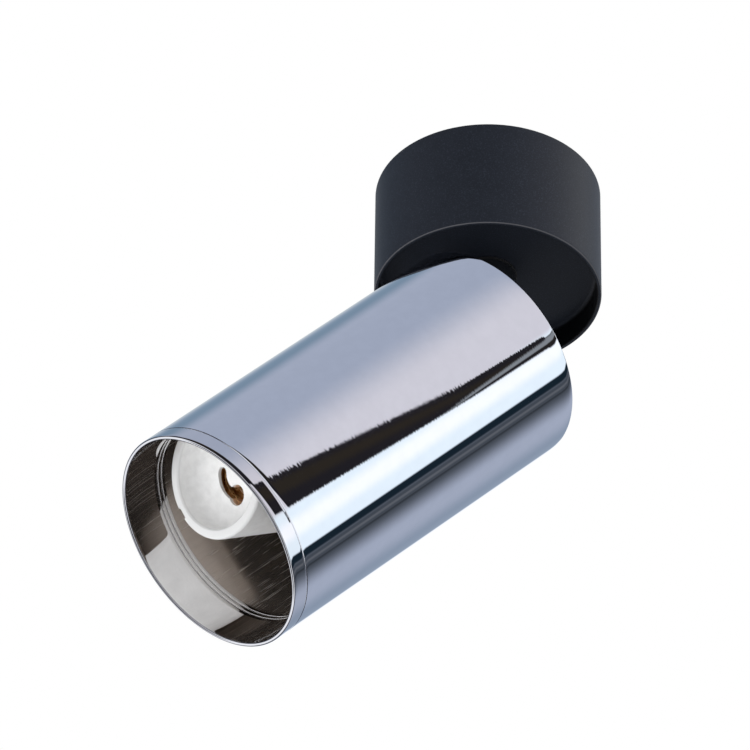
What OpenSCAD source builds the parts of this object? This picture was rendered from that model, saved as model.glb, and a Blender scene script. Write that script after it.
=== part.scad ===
// Surface mounted ceiling spotlight.
// A round canopy holds a hollow stem that swivels, and a lamp head that tilts on the stem's knuckle.
// Origin at the centre of the ceiling face, +Z up. The head leans towards -X and tilts about Y.

/* [Pose] */
// Lean of the head from straight down
head_lean = 43.5; // [0:0.5:60]

/* [Canopy] */
// Outer diameter of the canopy
canopy_d = 55; // [54:0.5:70]
// Height of the canopy from the ceiling to its lower rim
canopy_h = 31.1; // [30:0.1:40]
// Wall of the canopy
canopy_wall = 1; // [0.8:0.1:1.4]
// Depth of the recess under the canopy
recess_h = 6.6; // [5:0.1:7]
// Thickness of the partition that carries the stem
partition_t = 2; // [1.5:0.1:2.5]
// Radius where the recess turns into its wall
recess_fillet = 1.1; // [0.4:0.1:2]
// Bevel on the edges of the rims
edge_bevel = 0.25; // [0.1:0.05:0.35]

/* [Ceiling plate] */
// Thickness of the pressed plate
plate_t = 1.2; // [1:0.1:1.6]
// Depth of the plate's turned rim
plate_rim_h = 8; // [7:0.5:9]
// Distance between the centres of the two ceiling slots
slot_spacing = 36; // [34:1:38]
// Length of a ceiling slot
slot_l = 9; // [7:0.5:10]
// Width of a ceiling slot
slot_w = 4.4; // [3.5:0.1:5]
// Depth of the pressed dish round the cable hole
plate_dish_h = 1; // [0.9:0.1:1.4]
// Bore of the supply cable grommet
cable_bore_d = 8; // [6:0.5:8.5]
// Azimuth halfway between the two side screws
side_screw_mid = 74; // [60:1:90]
// Angle between the two side screws
side_screw_spread = 120; // [110:5:130]

/* [Terminal block] */
// Distance between the two poles
pole_pitch = 10; // [9.8:0.1:11]
// Length of the terminal block along its wires
block_l = 12; // [11:0.5:13]
// Distance from the canopy axis to the near end of the block
block_near = 8; // [7.8:0.1:9]
// Height of the block's barrels below the plate
block_h = 6.6; // [6.4:0.1:8]

/* [Stem] */
// Diameter of the stem below the canopy
stem_d = 13.5; // [13:0.1:15]
// Diameter of the spindle through the partition
spindle_d = 10; // [9:0.1:10.5]
// Bore for the leads through spindle and knuckle
lead_bore_d = 5; // [4.8:0.1:5.4]
// Distance from the canopy rim down to the tilt axis
pivot_drop = 18.1; // [17.5:0.1:22]
// Width of the knuckle between its flats
knuckle_w = 12; // [11:0.5:12.5]
// Thickness of each friction washer
friction_washer_t = 0.5; // [0.4:0.1:0.8]
// Thickness of the stop washer
stop_washer_t = 0.8; // [0.6:0.1:1]
// Height of the thin nut on the spindle
spindle_nut_h = 3; // [2.5:0.5:4]
// Radius at which the stop tab meets the stop pin
stop_radius = 10.5; // [10:0.1:12]
// Diameter of the stop pin
stop_pin_d = 2; // [1.6:0.1:2.4]
// Width of the stop tab
stop_tab_w = 2.5; // [2:0.1:3]

/* [Head] */
// Outer diameter of the lamp tube
tube_d = 55; // [54:0.5:56]
// Distance from the tilt axis to the front of the ring
head_l = 97.8; // [90:0.2:140]
// Distance from the tilt axis to the tube's open back
tube_back = 0.4; // [0.2:0.1:2]
// Wall of the lamp tube
tube_wall = 1.3; // [1:0.1:1.6]
// Distance from the tilt axis to the end cap
cap_recess = 10.5; // [10:0.1:14]
// Thickness of the end cap
cap_t = 3; // [2.5:0.1:4]
// Wall of the hinge bracket
bracket_t = 2; // [1.6:0.1:2.4]
// Width of the hinge bracket's ears
ear_w = 11; // [10:0.5:12]
// Half the distance between the bracket's two fixing screws
bracket_screw_x = 9; // [8.5:0.1:10]
// Diameter of the shoulder that the ears turn on
shoulder_d = 4; // [3.6:0.1:4.4]
// Bore of the grommet in the end cap
cap_bore_d = 6; // [5.5:0.1:6.4]

/* [Front ring] */
// Length of the ring's visible collar
ring_collar_l = 4.25; // [3:0.05:6]
// Width of the shadow line between ring and tube
ring_gap = 0.35; // [0.3:0.05:0.6]
// Thickness of the ring at its mouth
ring_mouth_t = 1; // [0.8:0.1:1.2]
// Depth of the polished taper inside the ring
ring_taper_l = 8.7; // [7:0.1:10]
// Radial step from the tube's wall in to the ring's narrowest bore
ring_lip = 0.9; // [0.7:0.1:1]
// Length of one of the narrow bands behind the taper
ring_band_l = 0.95; // [0.7:0.05:1.2]
// Length and depth of the grooves between the bands
ring_groove = 0.3; // [0.2:0.05:0.35]

/* [Lampholder] */
// Outer diameter of the lampholder's rim
holder_d = 30.6; // [30:0.1:31]
// Diameter of the lampholder's body at its cover
holder_back_d = 27.4; // [27:0.1:29]
// Inner diameter of the lampholder's rim
holder_dish_d = 25.7; // [25.4:0.1:26.2]
// Depth of the dish that takes the neck of the lamp
dish_h = 7; // [5.5:0.1:8]
// Length of the lampholder's ceramic body
holder_l = 20.5; // [20:0.1:24]
// Thickness of the lampholder's rear cover
holder_cover_t = 3.5; // [3:0.1:4]
// Distance between the two pin slots, measured across the axis
pin_spacing = 10; // [9.8:0.1:10.2]
// Diameter of the round end of a pin slot
slot_eye_d = 5; // [4.8:0.1:5.4]
// Width of the curved part of a pin slot
slot_neck_w = 2.8; // [2.6:0.1:3.2]
// Angle that the lamp turns to lock
lock_turn = 90; // [70:1:92]
// Depth of the lampholder's rim behind the front of the head
holder_depth = 12.1; // [12:0.1:20]
// Gap between the lampholder's rim and the tube's wall, where the holder leans on it
holder_gap = 0.05; // [0.05:0.05:2]
// Side of the tube on which the lampholder leans, seen from the back
holder_lean_at = 203.6; // [190:0.2:210]
// Angle between the lampholder's axis and the tube's axis
holder_tip = 27; // [20:0.5:28]
// Direction in which the lampholder tips, seen from the back
holder_tip_dir = 50; // [46:0.2:60]
// Turn of the pin slots about the lampholder's axis
holder_turn = -5; // [-20:0.2:10]

/* [Leads] */
// Diameter of a plain lead
lead_d = 1.8; // [1.6:0.1:1.9]
// Diameter of a sleeved lead
sleeve_d = 1.8; // [1.7:0.1:1.9]
// Distance of the leads from the axis where they run through a bore
lead_ring_r = 1.12; // [1.1:0.02:1.2]

/* [Fasteners] */
// Thread diameter of the small screws
screw_d = 3; // [2.5:0.1:3.2]
// Head diameter of the small screws
screw_head_d = 5.5; // [5:0.1:6]
// Head height of the small screws
screw_head_h = 1.8; // [1.5:0.1:2.2]
// Length of the grub screws
grub_l = 5; // [4:0.5:6]

/* [Hidden] */

round_fn = 120;
small_fn = 40;
fit = 0.05;        // radial play of a turning or screwed fit
face_play = 0.05;  // play between flat faces that slide on each other
loose = 0.25;      // play between pieces that only sit beside each other
through = 1;       // how far a cutting shape runs past the face it opens

canopy_r = canopy_d / 2;
canopy_ri = canopy_r - canopy_wall;
recess_z = -canopy_h + recess_h;
partition_z = recess_z + partition_t;
stem_r = stem_d / 2;
spindle_r = spindle_d / 2;
screw_r = screw_d / 2;
pivot_z = -canopy_h - pivot_drop;

plate_r = canopy_ri - loose;
plate_ri = plate_r - plate_t;
grommet_flange = 0.8;
grommet_wall = 1.1;
grommet_neck_r = cable_bore_d / 2 + grommet_wall;
dish_hole_r = grommet_neck_r + 1.3;
grub_z = -plate_rim_h / 2;
grub_angles = [side_screw_mid - side_screw_spread / 2, side_screw_mid + side_screw_spread / 2];

block_z = -plate_t;
barrel_r = 3;
wire_z = block_z - block_h + barrel_r;
tube_pipe_r = 2.3;
tube_pipe_bore = 1.5;
tower_h = 2.6;
tower_r = 2;
tower_y = block_l / 4;
block_mid = block_near + block_l / 2;

earth_pos = [-11, -14];
lug_t = 0.8;
lug_r = 3.2;
lug_l = 9;
lug_turn = 20;                             // azimuth in which the plate's ring terminal points
barrel_drop = lead_d / 2 + 0.5;            // from a ring terminal's seat to its barrel's axis
lug_mouth = [earth_pos.x, earth_pos.y, -plate_t - barrel_drop] + rot_z([lug_l, 0, 0], lug_turn);

// Places round the bore at which the leads of canopy and stem run
live_at = 150;
neutral_at = 30;
earth_at = 270;

stem_top_z = recess_z - 2 * face_play - friction_washer_t;
spindle_washer_z = partition_z + face_play;
stop_washer_z = spindle_washer_z + friction_washer_t;
nut_z = stop_washer_z + stop_washer_t;
spindle_top_z = nut_z + spindle_nut_h + 1;
nut_af = spindle_d * 1.4;
washer_r = spindle_r + 2.8;
lead_break = 1;                            // gap between the sections of a lead at a joint
stem_lead_top = partition_z - 1;
stem_lead_bottom = pivot_z + lead_bore_d;

shoulder_r = shoulder_d / 2;
ear_in = knuckle_w / 2 + friction_washer_t + 2 * face_play;
ear_out = ear_in + bracket_t;
flat_top = ear_w / 2 + 2;
bracket_base_z = -cap_recess + bracket_t;
bracket_l = 2 * (bracket_screw_x + screw_head_d / 2 + 0.5);
hinge_head_r = 3.5;
hinge_head_h = 1.9;
hinge_thread_l = 3;

tube_r = tube_d / 2;
tube_ri = tube_r - tube_wall;
mouth_z = -head_l;
tube_front_z = mouth_z + ring_collar_l + ring_gap;
cap_grub_angles = [60, 120];
cap_grub_z = -cap_recess - cap_t / 2;
cap_screw_r = cap_t / 3.4;                 // the side screws keep a wall above and below them
cap_neck_r = cap_bore_d / 2 + grommet_wall;
head_earth_pos = [8, -15];
head_lug_turn = 150;
head_lug_z = -cap_recess - cap_t;
head_lug_mouth = [head_earth_pos.x, head_earth_pos.y, head_lug_z - barrel_drop]
    + rot_z([lug_l, 0, 0], head_lug_turn);

// Height in the head's own frame at which its leads leave the knuckle, and their places round the bore
head_lead_top = -stem_r - 0.7;
head_live_at = 90;
head_neutral_at = 210;
head_earth_at = 330;

ring_ri = tube_ri - ring_lip;
ring_sleeve_r = tube_ri - fit;
ring_l = ring_taper_l + 3 * ring_band_l + 2 * ring_groove;

holder_r = holder_d / 2;
holder_back_r = holder_back_d / 2;
rim_round = 0.8;
dish_r = holder_dish_d / 2;
dish_fillet = 1.4;
web_t = 2.4;
pin_r = pin_spacing / 2;
chamber = [7.8, 13.6];
chamber_in = 0.9;
contact_t = 0.4;
contact_h = 5;
rivet_y = 8.6;
rivet_r = 1.4;
notch_at = 49;
exit_x = 5;
exit_r = sleeve_d / 2 + 2 * fit;
holder_reach = holder_r * sqrt(1 - pow(sin(holder_tip) * cos(holder_lean_at - holder_tip_dir), 2));
holder_off = tube_ri - holder_gap - holder_reach;
holder_pos = rot_z([holder_off, 0, mouth_z + holder_depth], holder_lean_at);
holder_back = holder_l + holder_cover_t;

// Small helpers for places and curves
function unit(v) = v / norm(v);
function rot_z(v, a) = [v.x * cos(a) - v.y * sin(a), v.x * sin(a) + v.y * cos(a), v.z];
function rot_y(v, a) = [v.x * cos(a) + v.z * sin(a), v.y, v.z * cos(a) - v.x * sin(a)];
function holder_dir(v) = rot_z(rot_y(rot_z(v, holder_turn), holder_tip), holder_tip_dir);
function holder_point(v) = holder_pos + holder_dir(v);
function bore_point(a, z) = [lead_ring_r * cos(a), lead_ring_r * sin(a), z];

// A cubic curve from a to d with handles b and c: its points and its directions
function curve_at(a, b, c, d, t) =
    a * pow(1 - t, 3) + b * 3 * t * pow(1 - t, 2) + c * 3 * t * t * (1 - t) + d * pow(t, 3);
function slope_at(a, b, c, d, t) =
    (b - a) * 3 * pow(1 - t, 2) + (c - b) * 6 * t * (1 - t) + (d - c) * 3 * t * t;
function curve(a, b, c, d, steps) =
    [for (i = [0 : steps]) [curve_at(a, b, c, d, i / steps), unit(slope_at(a, b, c, d, i / steps))]];

// Round lead along stations, each a point and a direction
module lead(stations, d) {
    sides = 8;
    count = len(stations);
    ref = [0.31, 0.95, 0.07];
    points = [for (s = stations) let (u = unit(cross(s[1], ref)), v = cross(s[1], u))
        for (k = [0 : sides - 1]) s[0] + d / 2 * (cos(360 * k / sides) * u + sin(360 * k / sides) * v)];
    sides_of = [for (i = [0 : count - 2], k = [0 : sides - 1])
        let (a = i * sides + k, b = i * sides + (k + 1) % sides)
        each [[a, a + sides, b + sides], [a, b + sides, b]]];
    ends = [[for (k = [0 : sides - 1]) k], [for (k = [sides - 1 : -1 : 0]) (count - 1) * sides + k]];
    polyhedron(points, concat(ends, sides_of));
}

// Flat washer standing on z = 0
module ring(r_out, r_in, h) {
    difference() {
        cylinder(r = r_out, h = h, $fn = small_fn);
        translate([0, 0, -through]) cylinder(r = r_in, h = h + 2 * through, $fn = small_fn);
    }
}

// Screw with a round head and a hexagonal socket, head up, seated at z = 0
module cap_screw(r, l, head_r, head_h) {
    difference() {
        union() {
            translate([0, 0, -l]) cylinder(r = r, h = l + head_h / 2, $fn = small_fn);
            cylinder(r = head_r, h = head_h * 0.6, $fn = small_fn);
            translate([0, 0, head_h * 0.6]) cylinder(r1 = head_r, r2 = head_r * 0.72, h = head_h * 0.4,
                $fn = small_fn);
        }
        translate([0, 0, head_h * 0.35]) cylinder(r = head_r * 0.42, h = head_h, $fn = 6);
    }
}

// Grub screw with a hexagonal socket at z = 0, running down
module grub_screw(r, l) {
    difference() {
        union() {
            translate([0, 0, -l + r * 0.4]) cylinder(r = r, h = l - r * 0.4, $fn = small_fn);
            translate([0, 0, -l]) cylinder(r1 = r * 0.6, r2 = r, h = r * 0.4, $fn = small_fn);
        }
        translate([0, 0, -l * 0.35]) cylinder(r = r * 0.5, h = l, $fn = 6);
    }
}

// Rubber grommet round a panel from z = 0 down to -panel_t
module grommet(bore_r, neck_r, flange_r, flange_h, panel_t) {
    rotate_extrude($fn = small_fn) difference() {
        translate([bore_r, -panel_t - flange_h]) square([flange_r - bore_r, panel_t + 2 * flange_h]);
        translate([neck_r, -panel_t]) square([flange_r, panel_t]);
        translate([flange_r, flange_h]) rotate([0, 0, 45]) square(flange_h, center = true);
        translate([flange_r, -panel_t - flange_h]) rotate([0, 0, 45]) square(flange_h, center = true);
    }
}

// Ring terminal flat on z = 0, with a crimp barrel towards +X
module ring_lug() {
    difference() {
        union() {
            cylinder(r = lug_r, h = lug_t, $fn = small_fn);
            translate([0, -lug_r / 2, 0]) cube([lug_l - 3.6, lug_r, lug_t]);
            translate([lug_l - 4, 0, barrel_drop]) rotate([0, 90, 0])
                cylinder(r = barrel_drop, h = 4, $fn = small_fn);
        }
        translate([0, 0, -through]) cylinder(r = screw_r + fit, h = lug_t + 2 * through, $fn = small_fn);
        translate([lug_l - 4 - through, 0, barrel_drop]) rotate([0, 90, 0])
            cylinder(r = lead_d / 2 + 0.02, h = 4 + 2 * through, $fn = small_fn);
    }
}

// Frame of the head: origin on the tilt axis, +Z towards the open back
module in_head() {
    translate([0, 0, pivot_z]) rotate([0, head_lean, 0]) children();
}

// Frame of the lampholder: origin at the centre of its rim, +Z towards its cover
module in_holder() {
    in_head() translate(holder_pos) rotate([0, 0, holder_tip_dir]) rotate([0, holder_tip, 0])
        rotate([0, 0, holder_turn]) children();
}

// Section of the canopy: a cup for the wiring above and a shallow recess below
module canopy_profile() {
    difference() {
        translate([0, -canopy_h]) square([canopy_r, canopy_h]);
        translate([0, partition_z]) square([canopy_ri, canopy_h]);
        translate([0, -canopy_h - through]) square([canopy_ri, recess_h + through - recess_fillet]);
        translate([0, -canopy_h - through]) square([canopy_ri - recess_fillet, recess_h + through]);
        translate([canopy_ri - recess_fillet, recess_z - recess_fillet])
            circle(recess_fillet, $fn = small_fn);
        for (r = [canopy_ri, canopy_r]) translate([r, -canopy_h]) rotate([0, 0, 45])
            square(edge_bevel * sqrt(2), center = true);
        translate([canopy_r, 0]) rotate([0, 0, 45]) square(edge_bevel * sqrt(2), center = true);
    }
}

module canopy_shell() {
    color("#2b2d33") difference() {
        rotate_extrude($fn = round_fn) canopy_profile();
        translate([0, 0, recess_z - through])
            cylinder(r = spindle_r + fit, h = partition_t + 2 * through, $fn = small_fn);
        translate([0, stop_radius, partition_z - partition_t / 2])
            cylinder(r = stop_pin_d / 2, h = partition_t, $fn = small_fn);
        for (a = grub_angles) rotate([0, 0, a]) translate([canopy_ri - through, 0, grub_z])
            rotate([0, 90, 0]) cylinder(r = screw_r + fit, h = canopy_wall + 2 * through, $fn = small_fn);
    }
}

// A pressed cup, upside down, with a shallow dish round the cable hole
module ceiling_plate() {
    color("#c9ccd0") difference() {
        union() {
            difference() {
                translate([0, 0, -plate_rim_h]) cylinder(r = plate_r, h = plate_rim_h, $fn = round_fn);
                translate([0, 0, -plate_rim_h - through])
                    cylinder(r = plate_ri, h = plate_rim_h + through - plate_t, $fn = round_fn);
            }
            translate([0, 0, -plate_dish_h - plate_t])
                cylinder(r = dish_hole_r + plate_t, h = plate_dish_h + plate_t, $fn = small_fn);
        }
        translate([0, 0, -plate_dish_h]) cylinder(r = dish_hole_r, h = plate_dish_h + through, $fn = small_fn);
        translate([0, 0, -plate_dish_h - plate_t - through])
            cylinder(r = grommet_neck_r, h = plate_t + 2 * through, $fn = small_fn);
        for (side = [-1, 1]) translate([side * slot_spacing / 2, 0, 0]) ceiling_slot();
        for (a = grub_angles) rotate([0, 0, a]) translate([plate_ri - through, 0, grub_z])
            rotate([0, 90, 0]) cylinder(r = screw_r + fit / 2, h = plate_t + 2 * through, $fn = small_fn);
        for (p = [[0, block_mid], earth_pos]) translate([p.x, p.y, -plate_t - through])
            cylinder(r = screw_r + fit / 2, h = plate_t + 2 * through, $fn = small_fn);
    }
}

module ceiling_slot() {
    straight = slot_l - slot_w;
    for (end = [-1, 1]) translate([end * straight / 2, 0, -plate_t - through])
        cylinder(r = slot_w / 2, h = plate_t + 2 * through, $fn = small_fn);
    translate([-straight / 2, -slot_w / 2, -plate_t - through])
        cube([straight, slot_w, plate_t + 2 * through]);
}

module canopy_grub_screws() {
    color("#3a3c40") for (a = grub_angles) rotate([0, 0, a])
        translate([canopy_r - edge_bevel, 0, grub_z]) rotate([0, 90, 0]) grub_screw(screw_r, grub_l);
}

// Its upper flange lies in the plate's dish, clear of the ceiling
module supply_grommet() {
    color("#1c1c1e") translate([0, 0, -plate_dish_h])
        grommet(cable_bore_d / 2, grommet_neck_r - fit / 2, grommet_neck_r + 1, grommet_flange, plate_t);
}

module block_poles() {
    for (side = [-1, 1]) translate([side * pole_pitch / 2, 0, 0]) children();
}

// Two barrels with screw towers under a common base
module terminal_block() {
    width = pole_pitch + 2 * barrel_r + 1;
    base_h = block_h - barrel_r;
    color("#ece8dc") difference() {
        union() {
            translate([-width / 2, block_near, block_z - base_h]) cube([width, block_l, base_h]);
            block_poles() {
                translate([0, block_near, wire_z]) rotate([-90, 0, 0])
                    cylinder(r = barrel_r, h = block_l, $fn = small_fn);
                for (side = [-1, 1]) translate([0, block_mid + side * tower_y, wire_z - barrel_r - tower_h])
                    cylinder(r = tower_r, h = tower_h + barrel_r, $fn = small_fn);
            }
        }
        block_poles() {
            translate([0, block_near - through, wire_z]) rotate([-90, 0, 0])
                cylinder(r = tube_pipe_r + fit, h = block_l + 2 * through, $fn = small_fn);
            for (side = [-1, 1])
                translate([0, block_mid + side * tower_y, wire_z - barrel_r - tower_h - through])
                    cylinder(r = screw_r * 0.8 + fit, h = tower_h + barrel_r + through, $fn = small_fn);
        }
        translate([0, block_mid, block_z - block_h])
            cylinder(r = screw_r + fit, h = block_h + through, $fn = small_fn);
    }
}

module terminal_tubes() {
    color("#c8a24a") block_poles() difference() {
        translate([0, block_near + 1, wire_z]) rotate([-90, 0, 0])
            cylinder(r = tube_pipe_r, h = block_l - 2, $fn = small_fn);
        translate([0, block_near, wire_z]) rotate([-90, 0, 0])
            cylinder(r = tube_pipe_bore, h = block_l + through, $fn = small_fn);
        for (side = [-1, 1]) translate([0, block_mid + side * tower_y, wire_z - barrel_r])
            cylinder(r = screw_r * 0.8 + fit, h = barrel_r, $fn = small_fn);
    }
}

// Clamp screws, turned from below, run down to the wires
module terminal_screws() {
    reach = barrel_r + tower_h - lead_d / 2 - loose - 0.6;
    color("#d4d4d0") block_poles() for (side = [-1, 1])
        translate([0, block_mid + side * tower_y, wire_z - barrel_r - tower_h + 0.6]) difference() {
            cylinder(r = screw_r * 0.8, h = reach, $fn = small_fn);
            translate([-screw_r, -0.3, -through]) cube([screw_d, 0.6, through + 0.7]);
        }
}

module terminal_fixing_screw() {
    seat = block_z - block_h + barrel_r;
    color("#d4d4d0") translate([0, block_mid, seat]) rotate([180, 0, 0])
        cap_screw(screw_r, block_h - barrel_r + plate_t, screw_r + 0.45, screw_head_h);
}

module plate_earth_screw() {
    color("#c9b26a") translate([earth_pos.x, earth_pos.y, -plate_t - lug_t]) rotate([180, 0, 0])
        cap_screw(screw_r, plate_t + lug_t, screw_head_d / 2, screw_head_h);
}

module plate_earth_lug() {
    color("#d0cfc8") translate([earth_pos.x, earth_pos.y, -plate_t]) rotate([0, 0, lug_turn])
        mirror([0, 0, 1]) ring_lug();
}

// The last stretch of a canopy lead runs straight down the hollow spindle
function down_spindle(a) =
    [for (z = [spindle_top_z - 2, stem_lead_top + lead_break]) [bore_point(a, z), [0, 0, -1]]];

// A lead leaves its pole towards the canopy's axis and turns down into the spindle
function pole_route(side, a) =
    let (x = side * pole_pitch / 2)
    concat([[[x, block_mid - 1, wire_z], [0, -1, 0]]],
        curve([x, block_near - 0.3, wire_z], [x, block_near / 4, wire_z],
            bore_point(a, spindle_top_z + block_near), bore_point(a, spindle_top_z + 1), 14),
        down_spindle(a));

module canopy_live_lead() {
    color("#7a4a2c") lead(pole_route(-1, live_at), lead_d);
}

module canopy_neutral_lead() {
    color("#3c62a8") lead(pole_route(1, neutral_at), lead_d);
}

module canopy_earth_lead() {
    out = rot_z([1, 0, 0], lug_turn);
    color("#7d9a3a") lead(concat([[lug_mouth - 2 * out, out]],
        curve(lug_mouth + 0.3 * out, lug_mouth + (lug_l - 2) * out,
            bore_point(earth_at, spindle_top_z + block_near), bore_point(earth_at, spindle_top_z + 1), 14),
        down_spindle(earth_at)), lead_d);
}

module swivel_stop_pin() {
    color("#b9bbbe") translate([0, stop_radius, partition_z - partition_t / 2])
        cylinder(r = stop_pin_d / 2, h = nut_z + 0.8 - partition_z + partition_t / 2, $fn = small_fn);
}

module swivel_stem() {
    color("#232429") difference() {
        union() {
            translate([0, 0, stem_top_z]) cylinder(r = spindle_r, h = spindle_top_z - stem_top_z,
                $fn = small_fn);
            translate([0, 0, pivot_z + flat_top])
                cylinder(r = stem_r, h = stem_top_z - pivot_z - flat_top, $fn = round_fn);
            knuckle();
        }
        translate([0, 0, pivot_z - stem_r - through])
            cylinder(r = lead_bore_d / 2, h = spindle_top_z - pivot_z + stem_r + 2 * through, $fn = small_fn);
        translate([0, 0, pivot_z - stem_r - through])
            cylinder(r1 = lead_bore_d / 2 + 2.4, r2 = lead_bore_d / 2, h = 4, $fn = small_fn);
        translate([0, knuckle_w, pivot_z]) rotate([90, 0, 0])
            cylinder(r = screw_r + fit / 2, h = 2 * knuckle_w, $fn = small_fn);
    }
}

// Round-ended tongue with two flats for the bracket's ears
module knuckle() {
    intersection() {
        translate([0, 0, pivot_z - stem_r]) cylinder(r = stem_r, h = stem_r + flat_top, $fn = round_fn);
        translate([0, knuckle_w / 2, pivot_z]) rotate([90, 0, 0]) linear_extrude(knuckle_w) union() {
            circle(stem_r, $fn = round_fn);
            translate([-stem_r, 0]) square([stem_d, flat_top]);
        }
    }
}

module stem_washer() {
    color("#1a1a1c") translate([0, 0, recess_z - face_play - friction_washer_t])
        ring(stem_r + 0.3, spindle_r + fit, friction_washer_t);
}

module spindle_washer() {
    color("#e4e2da") translate([0, 0, spindle_washer_z])
        ring(washer_r, spindle_r + fit, friction_washer_t);
}

module swivel_stop_washer() {
    color("#b9bbbe") translate([0, 0, stop_washer_z]) difference() {
        union() {
            cylinder(r = washer_r, h = stop_washer_t, $fn = small_fn);
            translate([-stop_tab_w / 2, -stop_radius - stop_pin_d * 0.6, 0])
                cube([stop_tab_w, stop_radius + stop_pin_d * 0.6 - spindle_r - 1, stop_washer_t]);
        }
        translate([0, 0, -through])
            cylinder(r = spindle_r + fit, h = stop_washer_t + 2 * through, $fn = small_fn);
    }
}

module spindle_nut() {
    color("#c2a65a") translate([0, 0, nut_z]) difference() {
        cylinder(r = nut_af / sqrt(3), h = spindle_nut_h, $fn = 6);
        translate([0, 0, -through])
            cylinder(r = spindle_r + fit, h = spindle_nut_h + 2 * through, $fn = small_fn);
    }
}

module stem_leads() {
    color("#b98a5a") for (a = [live_at, neutral_at, earth_at])
        lead([for (z = [stem_lead_top, stem_lead_bottom]) [bore_point(a, z), [0, 0, -1]]], lead_d);
}

module hinge_washers() {
    color("#e4e2da") for (side = [-1, 1])
        translate([0, side * (knuckle_w / 2 + friction_washer_t / 2 + face_play), pivot_z])
            rotate([90, 0, 0]) translate([0, 0, -friction_washer_t / 2])
                ring(ear_w / 2, shoulder_r + fit, friction_washer_t);
}

// Shoulder screws: the ears turn on the shoulder and the thread holds in the knuckle
module hinge_screws() {
    color("#c4c6ca") for (side = [-1, 1]) translate([0, 0, pivot_z]) rotate([side * -90, 0, 0]) {
        translate([0, 0, knuckle_w / 2])
            cylinder(r = shoulder_r, h = ear_out - knuckle_w / 2 + 0.1, $fn = small_fn);
        translate([0, 0, ear_out + 0.1])
            cap_screw(screw_r, ear_out + 0.1 - knuckle_w / 2 + hinge_thread_l, hinge_head_r, hinge_head_h);
    }
}

module rounded_plate(l, w, r, t) {
    linear_extrude(t) {
        square([l - 2 * r, w], center = true);
        square([l, w - 2 * r], center = true);
        for (x = [-1, 1], y = [-1, 1]) translate([x * (l / 2 - r), y * (w / 2 - r)])
            circle(r, $fn = small_fn);
    }
}

// U-shaped bracket: a base on the end cap and two ears up to the tilt axis
module hinge_bracket() {
    color("#9a9da3") in_head() difference() {
        union() {
            translate([0, 0, -cap_recess]) rounded_plate(bracket_l, 2 * ear_out, 3, bracket_t);
            for (side = [-1, 1]) translate([0, side * (ear_in + ear_out) / 2, 0]) rotate([90, 0, 0])
                linear_extrude(bracket_t, center = true) {
                    circle(ear_w / 2, $fn = small_fn);
                    translate([-ear_w / 2, -cap_recess]) square([ear_w, cap_recess]);
                }
        }
        translate([0, 2 * ear_out, 0]) rotate([90, 0, 0])
            cylinder(r = shoulder_r + fit, h = 4 * ear_out, $fn = small_fn);
        translate([0, 0, -cap_recess - through])
            cylinder(r = cap_neck_r + 1.4, h = bracket_t + 2 * through, $fn = small_fn);
        for (side = [-1, 1]) translate([side * bracket_screw_x, 0, -cap_recess - through])
            cylinder(r = screw_r + 2 * fit, h = bracket_t + 2 * through, $fn = small_fn);
    }
}

module bracket_screws() {
    color("#c4c6ca") in_head() for (side = [-1, 1])
        translate([side * bracket_screw_x, 0, bracket_base_z])
            cap_screw(screw_r, bracket_t + cap_t, screw_head_d / 2, screw_head_h);
}

module head_end_cap() {
    color("#2b2d33") in_head() difference() {
        translate([0, 0, -cap_recess - cap_t]) cylinder(r = tube_ri, h = cap_t, $fn = round_fn);
        translate([0, 0, -cap_recess - cap_t - through])
            cylinder(r = cap_neck_r, h = cap_t + 2 * through, $fn = small_fn);
        for (p = [[bracket_screw_x, 0], [-bracket_screw_x, 0], head_earth_pos])
            translate([p.x, p.y, -cap_recess - cap_t - through])
                cylinder(r = screw_r + fit / 2, h = cap_t + 2 * through, $fn = small_fn);
        for (a = cap_grub_angles) rotate([0, 0, a]) translate([tube_ri - grub_l, 0, cap_grub_z])
            rotate([0, 90, 0]) cylinder(r = cap_screw_r + fit / 2, h = grub_l + through, $fn = small_fn);
    }
}

module cap_grub_screws() {
    color("#3a3c40") in_head() for (a = cap_grub_angles) rotate([0, 0, a])
        translate([tube_r - edge_bevel, 0, cap_grub_z]) rotate([0, 90, 0]) grub_screw(cap_screw_r, grub_l);
}

module cap_grommet() {
    color("#1c1c1e") in_head() translate([0, 0, -cap_recess])
        grommet(cap_bore_d / 2, cap_neck_r - fit / 2, cap_neck_r + 1.1, 0.9, cap_t);
}

// Plain tube, threaded inside its front end for the ring
module head_tube() {
    color("#c3c7ce") in_head() difference() {
        rotate_extrude($fn = round_fn) difference() {
            translate([tube_ri, tube_front_z]) square([tube_wall, -tube_back - tube_front_z]);
            for (r = [tube_ri, tube_r], z = [-tube_back, tube_front_z]) translate([r, z]) rotate([0, 0, 45])
                square(edge_bevel * sqrt(2), center = true);
        }
        for (a = cap_grub_angles) rotate([0, 0, a]) translate([tube_ri - through, 0, cap_grub_z])
            rotate([0, 90, 0]) cylinder(r = cap_screw_r + fit, h = tube_wall + 2 * through, $fn = small_fn);
    }
}

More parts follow.
